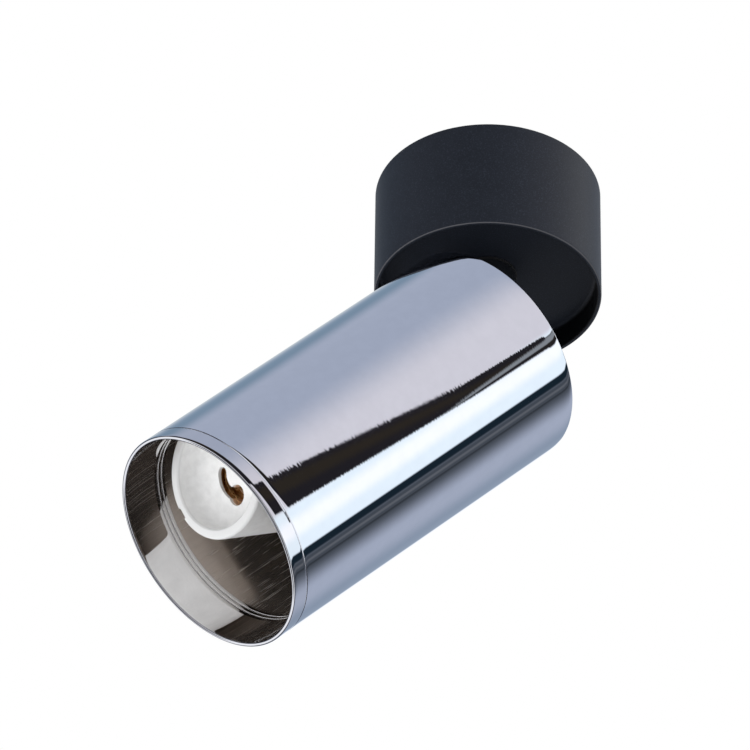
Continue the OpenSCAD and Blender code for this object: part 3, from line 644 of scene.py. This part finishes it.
@dataclass(frozen=True)
class Steatite(Finish):
    """Pressed white ceramic: faint mottling, pores and a dull glaze."""

    def paint(self, g: Graph) -> None:
        """Mottling is a coarse noise, pores a fine one's peaks, and painted shade greys the rim.
        """
        p = g.local(ROW)
        mottle = g.noise(p, 0.5, 4, 0.6)
        pores = g.noise(p, 5.0, 2, 0.6)
        colour = g.mix(mottle.step(0.3, 0.7), self.shade(0.94), self.shade(1.03))
        # painted shade: within 0.9 mm of the rim's face the ceramic is greyed
        depth = g.part(g.local(HOLDER), "Z")
        colour = g.mix(depth.step(0.9, 0.2), colour, self.shade(0.80))
        g.surface(
            Base_Color=g.mix(pores.step(0.7, 0.8) * 0.3, colour, self.shade(0.72)),
            Specular_IOR_Level=0.3,
            Roughness=mottle * 0.16 + 0.34,
            Normal=g.bump(pores * 0.4 + mottle, 0.03),
        )


@dataclass(frozen=True)
class PlatedMetal(Finish):
    """Small metal parts: plated or bare, with fine scratches and clouding."""

    roughness: float = 0.3
    cloud: float = 0.2
    bare: float = 1.0

    def paint(self, g: Graph) -> None:
        """Clouding tints and dulls the plate, scratches bump it; bare is the metallic share."""
        p = g.local(ROW)
        clouds = g.noise(p, 0.9, 4, 0.6)
        scratch = g.noise(g.scaled(p, 9, 1.2, 9), 1, 2)
        g.surface(
            Base_Color=g.mix(clouds.step(0.3, 0.75) * self.cloud, self.colour, self.shade(0.55)),
            Metallic=self.bare,
            Roughness=clouds * 0.18 + scratch * 0.08 + (self.roughness - 0.13),
            Normal=g.bump(scratch, 0.004),
        )


@dataclass(frozen=True)
class Moulded(Finish):
    """Moulded plastic or rubber with a fine spark-eroded grain."""

    roughness: float = 0.5
    depth_mm: float = 0.006

    def paint(self, g: Graph) -> None:
        """One fine noise for the grain and one coarse for the colour's drift."""
        p = g.local(ROW)
        grain, drift = g.noise(p, 4.0, 2), g.noise(p, 0.4, 2)
        g.surface(
            Base_Color=g.mix(drift, self.shade(0.9), self.shade(1.08)),
            Roughness=grain * 0.12 + (self.roughness - 0.06),
            Normal=g.bump(grain, self.depth_mm),
        )


@dataclass(frozen=True)
class Braid(Finish):
    """Glass-fibre sleeve: the crossing yarns are in the mesh, and fibres are in the bump."""

    def paint(self, g: Graph) -> None:
        """Fibres follow the sleeve's own coordinates."""
        fibre = g.noise(g.scaled(g.coords("UV"), 9, 2.5, 1), 1, 3, 0.7)
        g.surface(
            Base_Color=g.mix(fibre.step(0.3, 0.7), self.shade(0.8), self.shade(1.05)),
            Roughness=fibre * 0.2 + 0.55,
            Normal=g.bump(fibre, 0.02),
        )


@dataclass(frozen=True)
class Insulation(Finish):
    """Soft wire insulation, plain or with one stripe along it."""

    stripe: Colour | None = None
    girth_mm: float = 5.6

    def paint(self, g: Graph) -> None:
        """The stripe takes half the girth; a slight bloom dulls the rest."""
        bloom = g.noise(g.local(ROW), 1.2, 3)
        colour = g.mix(bloom, self.shade(0.92), self.shade(1.08))
        if self.stripe is not None:
            around = g.part(g.coords("UV"), "X") * (math.tau / self.girth_mm)
            band = around.math("SINE").step(-0.1, 0.1)
            colour = g.mix(band, colour, self.stripe)
        g.surface(Base_Color=colour, Roughness=bloom * 0.12 + 0.36, Normal=g.bump(bloom, 0.01))


# the canopy gets a painted highlight on its rim and painted shade on the wall inside it
CANOPY_BLACK = PowderCoat(
    "canopy_black", (0.0165, 0.0200, 0.0290), depth_mm=0.008, rim_highlight_wall_shade=(27.5, -31.1)
)
STEM_BLACK = PowderCoat("stem_black", (0.016, 0.018, 0.022), 0.4, 0.25, 0.003)
CAP_BLACK = PowderCoat("cap_black", (0.035, 0.037, 0.043))
CHROME_TUBE = Chrome("chrome_tube", (0.62, 0.64, 0.69))
CHROME_RING = Chrome("chrome_ring", (0.60, 0.61, 0.65), depth_mm=0.0002)
CHROME_MOUTH = Chrome("chrome_mouth", (0.92, 0.91, 0.91), depth_mm=0.0002)
TUBE_BORE = DrawnBore("tube_bore", (0.84, 0.76, 0.70))
CERAMIC = Steatite("ceramic", (0.92, 0.92, 0.915))
CERAMIC_COVER = Steatite("ceramic_cover", (0.86, 0.85, 0.83))
ZINC_STEEL = PlatedMetal("zinc_steel", (0.62, 0.64, 0.66), 0.32)
SCREW_STEEL = PlatedMetal("screw_steel", (0.60, 0.61, 0.63), 0.26)
BLACK_STEEL = PlatedMetal("black_steel", (0.06, 0.06, 0.065), 0.4)
TINNED_COPPER = PlatedMetal("tinned_copper", (0.72, 0.71, 0.67), 0.36)
BRASS = PlatedMetal("brass", (0.70, 0.55, 0.27))
BRONZE = PlatedMetal("bronze", (0.45, 0.27, 0.12), 0.28, 0.35)
# painted light: a lighter copy of the bronze for the eye's wall and the base in each slot
LIT_EYE_BRONZE = PlatedMetal("lit_eye_bronze", (0.88, 0.62, 0.42), 0.45, 0.25, 0.25)
RIVET_STEEL = PlatedMetal("rivet_steel", (0.66, 0.66, 0.65))
BLACK_RUBBER = Moulded("black_rubber", (0.020, 0.020, 0.022), 0.62, 0.01)
NYLON = Moulded("nylon", (0.80, 0.79, 0.74), 0.42)
BLOCK_PLASTIC = Moulded("block_plastic", (0.82, 0.80, 0.74), 0.45)
LEAD_SLEEVE = Braid("lead_sleeve", (0.85, 0.84, 0.80))
LIVE_BROWN = Insulation("live_brown", (0.20, 0.09, 0.04))
NEUTRAL_BLUE = Insulation("neutral_blue", (0.05, 0.14, 0.42))
EARTH_STRIPED = Insulation("earth_green_yellow", (0.06, 0.30, 0.06), (0.72, 0.62, 0.05))
SILICONE = Insulation("stem_lead_insulation", (0.75, 0.72, 0.66))


# ---- sub-assemblies


@dataclass(frozen=True)
class Canopy:
    """The black cup on the ceiling, with the plate, terminal block and supply leads inside it."""

    radius: float = 27.5
    height: float = 31.1
    wall: float = 1.0
    floor_z: float = -24.5
    partition: float = 2.0
    fillet: float = 1.1
    rim: float = 0.24
    spindle_hole: float = 5.05
    grub_z: float = -4.0
    grub_angles: Pair = (14, 134)
    grub_hole: float = 1.55

    def build(self) -> None:
        """Turns the shell, drills it for the side screws, and dresses what it holds."""
        inner, top = self.radius - self.wall, self.floor_z + self.partition
        section = rounded(
            [
                (self.radius, 0, self.rim),
                (self.radius, -self.height, self.rim),
                (inner, -self.height, self.rim),
                (inner, self.floor_z, self.fillet),
                (self.spindle_hole, self.floor_z, 0.2),
                (self.spindle_hole, top, 0.2),
                (inner, top, 0.3),
                (inner, 0, 0.15),
            ],
            7,
        )
        shell = lathe(refined(section, 1.0), ROW, 288)
        wall = (inner, self.radius)
        holes = drills(ROW, self.grub_z, self.grub_angles, self.grub_hole, wall)
        name = "canopy_shell"
        add_piece(f"{name}_turned", Body.CANOPY, [shell], [CANOPY_BLACK], name, holes)
        carry(Body.CANOPY, {"ceiling_plate": ZINC_STEEL}, sharp=12)
        inside = {
            "canopy_grub_screws": BLACK_STEEL,
            "supply_grommet": BLACK_RUBBER,
            "terminal_block": BLOCK_PLASTIC,
            "terminal_tubes": BRASS,
            "terminal_screws": SCREW_STEEL,
            "terminal_fixing_screw": SCREW_STEEL,
            "plate_earth_screw": BRASS,
            "plate_earth_lug": TINNED_COPPER,
            "swivel_stop_pin": SCREW_STEEL,
        }
        carry(Body.CANOPY, inside)
        leads = {
            "canopy_live_lead": LIVE_BROWN,
            "canopy_neutral_lead": NEUTRAL_BLUE,
            "canopy_earth_lead": EARTH_STRIPED,
        }
        carry(Body.CANOPY, leads, 0)


@dataclass(frozen=True)
class SwivelStem:
    """The hollow stem with its spindle, knuckle and the washers and nut that hold it."""

    stem_edge: float = 0.15

    def build(self) -> None:
        """Carries the turned parts over with eased edges."""
        carry(Body.SWIVEL, {"swivel_stem": STEM_BLACK}, self.stem_edge)
        small = {
            "stem_washer": BLACK_RUBBER,
            "spindle_washer": NYLON,
            "swivel_stop_washer": ZINC_STEEL,
            "spindle_nut": BRASS,
            "hinge_washers": NYLON,
            "hinge_screws": SCREW_STEEL,
        }
        carry(Body.SWIVEL, small)
        carry(Body.SWIVEL, {"stem_leads": SILICONE}, 0)


@dataclass(frozen=True)
class LampTube:
    """The chrome tube, its end cap and the bracket that hangs it on the stem."""

    radius: float = 27.5
    bore: float = 26.2
    back_z: float = -0.4
    front_z: float = MOUTH_Z + 4.28
    edge: float = 0.3
    bevel: Pair = (0.10, 0.14)
    drawn_in: float = 0.03
    roll: float = 0.10
    roll_length: float = 2.6
    lined: float = 26.7
    cap_screw_z: float = -12.0
    cap_screw_angles: Pair = (60, 120)
    cap_screw_hole: float = 0.93

    def build(self) -> None:
        """Turns the tube, whose outer face rolls in towards its back, and dresses its back.

        Its front edge is broken by two narrow bevels that mirror each other's slopes.
        """
        near, far = self.bevel
        back, front = self.radius - self.roll, self.radius - self.drawn_in
        corners = [
            (back, self.back_z, self.edge),
            (self.bore, self.back_z, self.edge),
            (self.bore, self.front_z, self.edge),
            (front - near - far, self.front_z, 0.02),
            (front - near, self.front_z + near, 0.02),
            (front, self.front_z + near + far, 0.04),
        ]
        section = refined(rounded(corners), 1.2)
        from_back = self.back_z - section[:, 1]
        to_end = np.clip(1 - from_back / self.roll_length, 0, 1)
        bulge = self.radius - self.roll * to_end**2
        straight = back + from_back / (self.back_z - self.front_z) * (front - back)
        section[:, 0] += np.where(section[:, 0] > back - 0.5, bulge - straight, 0)
        skins = lathe(section, HEAD, 360).parted(self.lined)
        wall = (self.bore, self.radius)
        holes = drills(HEAD, self.cap_screw_z, self.cap_screw_angles, self.cap_screw_hole, wall)
        finishes = [CHROME_TUBE, TUBE_BORE]
        add_piece("head_tube_turned", Body.HEAD, skins, finishes, "head_tube", holes)
        small = {
            "hinge_bracket": ZINC_STEEL,
            "bracket_screws": SCREW_STEEL,
            "head_end_cap": CAP_BLACK,
            "cap_grub_screws": BLACK_STEEL,
            "cap_grommet": BLACK_RUBBER,
            "head_earth_lug": TINNED_COPPER,
            "head_earth_screw": BRASS,
        }
        carry(Body.HEAD, small)
        carry(Body.HEAD, {"earth_lead": EARTH_STRIPED}, 0)


@dataclass(frozen=True)
class FrontRing:
    """The screwed ring at the mouth: collar, polished taper and banded sleeve."""

    radius: float = 27.5
    collar: float = 4.25
    mouth: float = 26.5
    bore: float = 25.3
    sleeve: float = 26.15
    taper: float = 8.7
    band: float = 0.95
    groove: float = 0.3
    edge: float = 0.1
    rim: float = 0.45

    def build(self) -> None:
        """Turns the ring from its section.

        The mouth draws in by 0.4 t + 0.6 t squared of its whole taper, where t is the share of the
        taper's depth, so that its slope grows inwards.
        """
        z = [MOUTH_Z + self.taper + k * (self.band + self.groove) for k in range(3)]
        t = np.linspace(0.1, 0.97, 16)
        mouth = self.mouth - (self.mouth - self.bore) * (0.4 * t + 0.6 * t**2)
        deep, root = self.bore + self.groove, 0.03
        grooves = []
        for low, high in ((z[0] + self.band, z[1]), (z[1] + self.band, z[2])):
            grooves += [(self.bore, low, self.edge), (deep, low, root)]
            grooves += [(deep, high, root), (self.bore, high, self.edge)]
        corners = [
            (self.radius, MOUTH_Z, self.rim),
            (self.mouth, MOUTH_Z, self.rim),
            *zip(mouth, MOUTH_Z + self.taper * t, 0 * t),
            (self.bore, z[0], 0.12),
            *grooves,
            (self.bore, z[2] + self.band, self.edge),
            (self.sleeve, z[2] + self.band, self.edge),
            (self.sleeve, MOUTH_Z + self.collar, 0.05),
            (self.radius, MOUTH_Z + self.collar, self.edge),
        ]
        skins = lathe(refined(rounded(corners), 0.8), HEAD, 360).parted(self.mouth - 0.02)
        add_piece("front_ring_turned", Body.RING, skins, [CHROME_RING, CHROME_MOUTH], "front_ring")


@dataclass(frozen=True)
class Lampholder:
    """The ceramic twist-lock holder with its bronze contacts, cover and sleeved leads."""

    radius: float = 15.36
    back: float = 13.7
    dish: float = 12.85
    dish_depth: float = 7.0
    length: float = 20.5
    cover: float = 3.5
    web: float = 2.4
    pin_radius: float = 5.0
    eye: float = 5.0
    eye_steps: int = 60
    neck: float = 2.8
    lock: float = 90.0
    chamber: Triple = (0.9, 8.7, 6.8)
    liner_base: Triple = (1.0, 8.6, 6.7)
    liner_wall: Pair = (-0.1, -0.02)
    liner_ends: Pair = (0.9, 2.8)
    bead: float = 0.13
    bead_at: Pair = (-0.62, 1.7)
    nick: Triple = (14.35, 16.9, 1.6)
    nick_angle: float = 49
    exit_x: float = 5.0
    lead: float = 1.8
    yarn: float = 0.07
    yarns: int = 4
    lay: float = 2.4
    braid_step: float = 0.12
    grommet_reach: float = 1.12
    grommet_z: Pair = (-15.5, -7.45)

    def slot(self, spot: Place, low: float, high: float) -> list[Surface]:
        """What is cut out for one pin: a round eye, a neck curved about the axis and a round end.

        Args:
            spot: the holder's place, turned to the slot.
            low: depth at which the cut starts.
            high: depth at which it ends.

        Returns:
            The closed cutters, which overlap and differ in depth, so that no faces share a plane.
        """
        half, far = self.neck / 2, self.pin_radius
        near, wide = far - half, far + half
        neck = np.array([[near, low], [wide, low], [wide, high], [near, high]])
        end = spot.inside(axes=turn("z", self.lock))
        return [
            rod(self.eye / 2, low - 0.011, high + 0.011, spot.inside((far, 0, 0))),
            lathe(neck, spot, 40, self.lock + 0.7),
            rod(half - 0.04, low - 0.007, high + 0.007, end.inside((far, 0, 0))),
        ]

    def keyhole(self, spot: Place, out: float, depth: float) -> Array:
        """A path a constant distance outside the border of one slot.

        It runs round the eye, along the neck's inner side, round its end and back along the outer
        side. A circle of radius r about the axis meets the eye's circle where
        cos a = (far^2 + r^2 - eye^2) / (2 far r).

        Args:
            spot: the holder's place, turned to the slot.
            out: the distance, negative for a path inside the cut.
            depth: depth of the path.

        Returns:
            Its points in the row frame.
        """
        far, lock = self.pin_radius, math.radians(self.lock)
        eye, half = self.eye / 2 + out, self.neck / 2 + out
        meets = []
        for r in (far + half, far - half):
            a = math.acos((far**2 + r**2 - eye**2) / (2 * far * r))
            meets.append((a, math.atan2(r * math.sin(a), r * math.cos(a) - far)))
        (outer, eye_from), (inner, eye_to) = meets
        end = (far * math.cos(lock), far * math.sin(lock))
        runs = (
            ((far, 0), eye, eye_from, eye_to - math.tau, self.eye_steps),
            ((0, 0), far - half, inner, lock, 30),
            (end, half, lock + math.pi, lock, 30),
            ((0, 0), far + half, lock, outer, 50),
        )
        arcs = []
        for centre, r, first, last, steps in runs:
            a = np.linspace(first, last, steps)[:-1]
            arcs.append(np.array(centre) + r * np.stack([np.cos(a), np.sin(a)], 1))
        path = np.vstack(arcs)
        return spot.points(np.hstack([path, np.full((len(path), 1), depth)]))

    def flare(self, spot: Place, room: Place) -> list[Surface]:
        """The bronze that shows in one slot: a thin wall inside the cut, a rolled edge and a base.

        Args:
            spot: the holder's place, turned to the slot.
            room: the same, turned to the chamber behind it.

        Returns:
            Its surfaces; the base and the eye's part of the wall are in the second slot,
            which is a lighter copy of the bronze, painted light.
        """
        (inner, outer), (top, low) = self.liner_wall, self.liner_ends
        top, low = self.dish_depth + top, self.dish_depth + self.web + low
        sides = ((inner, top), (outer, top), (outer, low), (inner, low))
        wall = loft(np.stack([self.keyhole(spot, out, z) for out, z in sides], 1), True)
        base = block(rectangle(*self.liner_base), low, low + 0.2, room)
        out, depth = self.bead_at
        line = self.keyhole(spot, out, self.dish_depth + depth)
        edge = sweep(line, np.array(self.bead), 10, True)
        base.slot = 1
        # painted light: the eye's part of the wall takes the lighter bronze, the narrow neck the
        # darker
        on_eye = np.arange(len(wall.quads)) // len(sides) <= self.eye_steps
        return [*wall.split(on_eye), base, edge]

    def build(self) -> None:
        """Turns and carves the body, and dresses what goes with it."""
        section = rounded(
            [
                (self.radius, 0, 0.78),
                (self.back, self.length, 0.3),
                (1e-4, self.length, 0),
                (1e-4, self.dish_depth, 0),
                (self.dish - 0.3, self.dish_depth, 2.6),
                (self.dish, 0.3, 0.3),
                (self.dish + 0.4, 0, 0.3),
            ],
            8,
        )
        floor, cuts, flares = self.dish_depth, [], []
        for half_turn in (0, 180):
            spot = HOLDER.inside(axes=turn("z", half_turn))
            cuts += self.slot(spot, floor - 1, floor + self.web + 1)
            room = HOLDER.inside(axes=turn("z", half_turn + self.lock / 2))
            flares += self.flare(spot, room)
            box = rectangle(*self.chamber)
            cuts.append(block(box, floor + self.web, self.length + 1, room))
        notch = HOLDER.inside(axes=turn("z", self.nick_angle))
        cuts.append(block(rectangle(*self.nick), -1, 3, notch))
        body = [lathe(refined(section, 0.8), HOLDER, 180)]
        name = "lampholder_body"
        add_piece(f"{name}_pressed", Body.HEAD, body, [CERAMIC], name, cuts)
        add_piece("slot_flares", Body.HEAD, flares, [BRONZE, LIT_EYE_BRONZE])
        carry(Body.HEAD, {"lampholder_contacts": BRONZE}, 0.04)
        carry(Body.HEAD, {"lampholder_cover": CERAMIC_COVER}, 0.2)
        carry(Body.HEAD, {"lampholder_rivets": RIVET_STEEL})
        self.sleeved_lead("live_lead", 1, 90, (0.19, 0.31, -0.76))
        self.sleeved_lead("neutral_lead", -1, 210, (-0.34, 0.12, -0.84))

    def sleeved_lead(self, node: str, side: int, at: float, bow: Sequence[float]) -> None:
        """A lead in a braided sleeve from the cover to the grommet, as the CAD node runs.

        The yarns of the braid are two families of ridges that wind left and right: the radius is
        the sleeve's less a small depth where neither family is high.

        Args:
            node: the CAD node.
            side: which exit of the cover it takes, 1 or -1.
            at: its angle in the grommet, in degrees.
            bow: handle of its upper end, in shares of the tube's bore.
        """
        way = HOLDER.inside(axes=turn("z", self.lock / 2))
        exit_at = way.points((side * self.exit_x, 0, self.length + 0.5))
        out = way.points((side * self.exit_x, 0, self.length + self.cover + 1))
        handle = out + LampTube.bore * way.axes[:, 2]
        spot = turn("z", at) @ (self.grommet_reach, 0, 0)
        top, end = (HEAD.points(spot + (0, 0, z)) for z in self.grommet_z)
        rise = LampTube.bore * (HEAD.axes @ bow)
        path = np.vstack([exit_at, bezier(out, handle, top + rise, top, 60), end])
        length = lengths(path)[-1]
        even = np.linspace(0, length, int(length / self.braid_step))
        sides = 6 * self.yarns
        a = self.yarns * np.linspace(0, 2 * np.pi, sides, endpoint=False)[None]
        wind = self.yarns * 2 * np.pi * even[:, None] / self.lay
        yarn = np.maximum(np.cos(a + wind), np.cos(a - wind))
        radius = self.lead / 2 - self.yarn * (1 - yarn) / 2 - 0.01
        sleeve = [sweep(resampled(path, even), radius, sides)]
        add_piece(f"{node}_sleeve", Body.HEAD, sleeve, [LEAD_SLEEVE], node, sharp=60)


# ---- studio


@dataclass(frozen=True)
class Card:
    """A strip of the studio that lies along the tube's axis, seen only in reflections.

    Its edges are angles round the axis at rest, in degrees, and may slant: each edge is its angle
    where the direction lies SLANT_FROM along the axis, plus its slant for each hundredth beyond.
    """

    start: float
    end: float
    colour: Colour
    soft: Pair = (2.0, 2.0)
    slant: Pair = (0.0, 0.0)


SLANT_FROM = 0.565
CARDS = (
    Card(-180, -158, (0.62, 0.68, 0.72), (1, 14)),
    Card(-158, -128, (0.26, 0.36, 0.47), (14, 12)),
    Card(-44, 40, (0.98, 0.94, 0.99), (26, 4)),
    Card(16, 60, (1.25, 1.38, 1.45), (4, 2)),
    Card(28, 44, (1.55, 1.56, 1.58), (6, 6)),
    Card(-26, 13, (0.022, 0.020, 0.024), (0.8, 1.2), (11.4, 4.4)),
    Card(-20, -4, (0.036, 0.029, 0.022), (3, 4), (11.4, 8.0)),
    Card(44.9, 28.7, (0.34, 0.36, 0.38), (1.5, 0.8), (-6.6, -1.0)),
    Card(60, 69, (0.012, 0.024, 0.036), (1.0, 2)),
    Card(68, 93, (0.085, 0.098, 0.118), (2, 14)),
    Card(72.5, 75, (0.16, 0.17, 0.19), (0.8, 1.2)),
    Card(78, 80, (0.045, 0.052, 0.062), (1, 1.5)),
    Card(128, 168, (0.34, 0.41, 0.52), (16, 6)),
    Card(166, 181, (0.95, 1.0, 1.08), (4, 1)),
)


class Studio:
    """Camera, floor, lamps and the surroundings that the chrome mirrors.

    The camera's lens, shift, place and axes come from a fit to the photograph's outlines.
    """

    lens, sensor = 314.1, 36.0
    shift: Pair = (-0.01444, 0.05839)
    clip: Pair = (0.05, 50)
    spot = np.array([-332.569, -1173.887, -1037.322])
    right = np.array([0.96516704, -0.26142532, 0.01045906])
    up = np.array([-0.17041498, -0.59782387, 0.78330412])
    floor_half, floor_z = 4000.0, -2200.0
    lit = Vector((0, 0, -0.06))
    axis = HEAD.axes[:, 2]
    toward = np.array([0.254, -0.937, -0.241])
    far_grey: Colour = (0.535, 0.585, 0.71)

    def build(self) -> None:
        """Sets up everything round the object."""
        self.camera()
        self.floor()
        self.lamps()
        self.surroundings()
        bpy.context.scene.view_settings.view_transform = "Standard"

    def camera(self) -> None:
        """A long lens below and in front, looking up at the photograph's angle."""
        data = bpy.data.cameras.new("camera")
        data.lens, data.sensor_width = self.lens, self.sensor
        data.shift_x, data.shift_y = self.shift
        data.clip_start, data.clip_end = self.clip
        camera = placed("camera", data)
        back = np.cross(self.right, self.up)
        rows = np.column_stack([self.right, self.up, back, self.spot * MM])
        camera.matrix_world = Matrix([*rows.tolist(), [0, 0, 0, 1]])
        bpy.context.scene.camera = camera

    def floor(self) -> None:
        """A plain pale floor well below the object."""
        half = self.floor_half
        slab = block(rectangle(-half, half, half), self.floor_z - 20, self.floor_z, ROW)
        obj = placed("floor", mesh_of("floor", [slab]))
        material = bpy.data.materials.new("floor")
        material.use_nodes = True
        Graph(material.node_tree).surface(Base_Color=(0.92, 0.92, 0.92), Roughness=0.9)
        obj.data.materials.append(material)
        obj.visible_glossy = False

    def lamps(self) -> None:
        """Four soft boxes: three below that shine into the mouth, and a fill from the right."""
        for name, place, size, watts in (
            ("key", (-0.6, -0.4, -1.2), 0.9, 2.0),
            ("mouth", (-0.9, 0.5, -0.95), 0.9, 7.0),
            ("dish", (-1.2, -0.5, -0.7), 0.6, 4.2),
            ("fill", (1.2, -0.9, -0.7), 0.9, 3.5),
        ):
            data = bpy.data.lights.new(name, "AREA")
            data.shape, data.size, data.energy = "SQUARE", size, watts
            lamp = placed(name, data)
            aim = (self.lit - Vector(place)).to_track_quat("-Z", "Y")
            lamp.matrix_world = Matrix.LocRotScale(Vector(place), aim, None)
            lamp.visible_camera = lamp.visible_glossy = False

    def surroundings(self) -> None:
        """White to the camera, soft grey as light, and strips along the tube to glossy surfaces.

        A direction's place among the strips is its angle round the tube's axis at rest, and how
        far along that axis it points.
        """
        world = bpy.data.worlds.new("studio")
        bpy.context.scene.world = world
        world.use_nodes = True
        g = Graph(world.node_tree)
        ray, aside = g.coords("Generated"), np.cross(self.axis, self.toward)
        along, across, ahead = (
            g.vector("DOT_PRODUCT", ray, v.tolist()) for v in (self.axis, aside, self.toward)
        )
        around = across.math("ARCTAN2", ahead) * math.degrees(1)
        # Slants stop 8 hundredths below and 5 above their start, and slow down past 3.3 above.
        lean = (along - SLANT_FROM) * 100
        lean = lean.math("MAXIMUM", -8.0).math("MINIMUM", 5.0)
        lean = lean.math("MINIMUM", 3.3) + (lean - 3.3).math("MAXIMUM", 0.0) * 0.35
        colour: Any = self.far_grey
        for card in CARDS:
            first, last = (around - lean * slant if slant else around for slant in card.slant)
            mask = first.step(card.start - card.soft[0], card.start + card.soft[0])
            mask = mask * last.step(card.end + card.soft[1], card.end - card.soft[1])
            colour = g.mix(mask, colour, card.colour)
        colour = g.mix(along.step(0.2, 0.0), colour, (0.05, 0.05, 0.06))
        front = along.step(-0.40, -0.48) * along.step(-0.78, -0.70)
        colour = g.mix(front, colour, (1.3, 1.3, 1.32))
        colour = g.mix(along.step(0.94, 0.975), colour, (1.4, 1.4, 1.42))
        paths = g.node("ShaderNodeLightPath", {})
        seen = None
        for ray_is, light, strength in (
            (None, (0.96, 0.98, 1.0), 0.66),
            ("Is Glossy Ray", colour, 1.0),
            ("Is Camera Ray", (1, 1, 1), 1.0),
        ):
            lit = g.out(g.node("ShaderNodeBackground", {}, light, strength))
            if ray_is:
                lit = g.out(g.node("ShaderNodeMixShader", {}, g.out(paths, ray_is), seen, lit))
            seen = lit
        g.node("ShaderNodeOutputWorld", {}, seen)


def main() -> None:
    """Builds the sub-assemblies in order, then the studio."""
    logging.basicConfig(level=logging.INFO, format="%(name)s: %(message)s")
    for part in (Canopy(), SwivelStem(), LampTube(), FrontRing(), Lampholder()):
        log.info("building %s", type(part).__name__)
        part.build()
    Studio().build()


if __name__ == "__main__":
    main()
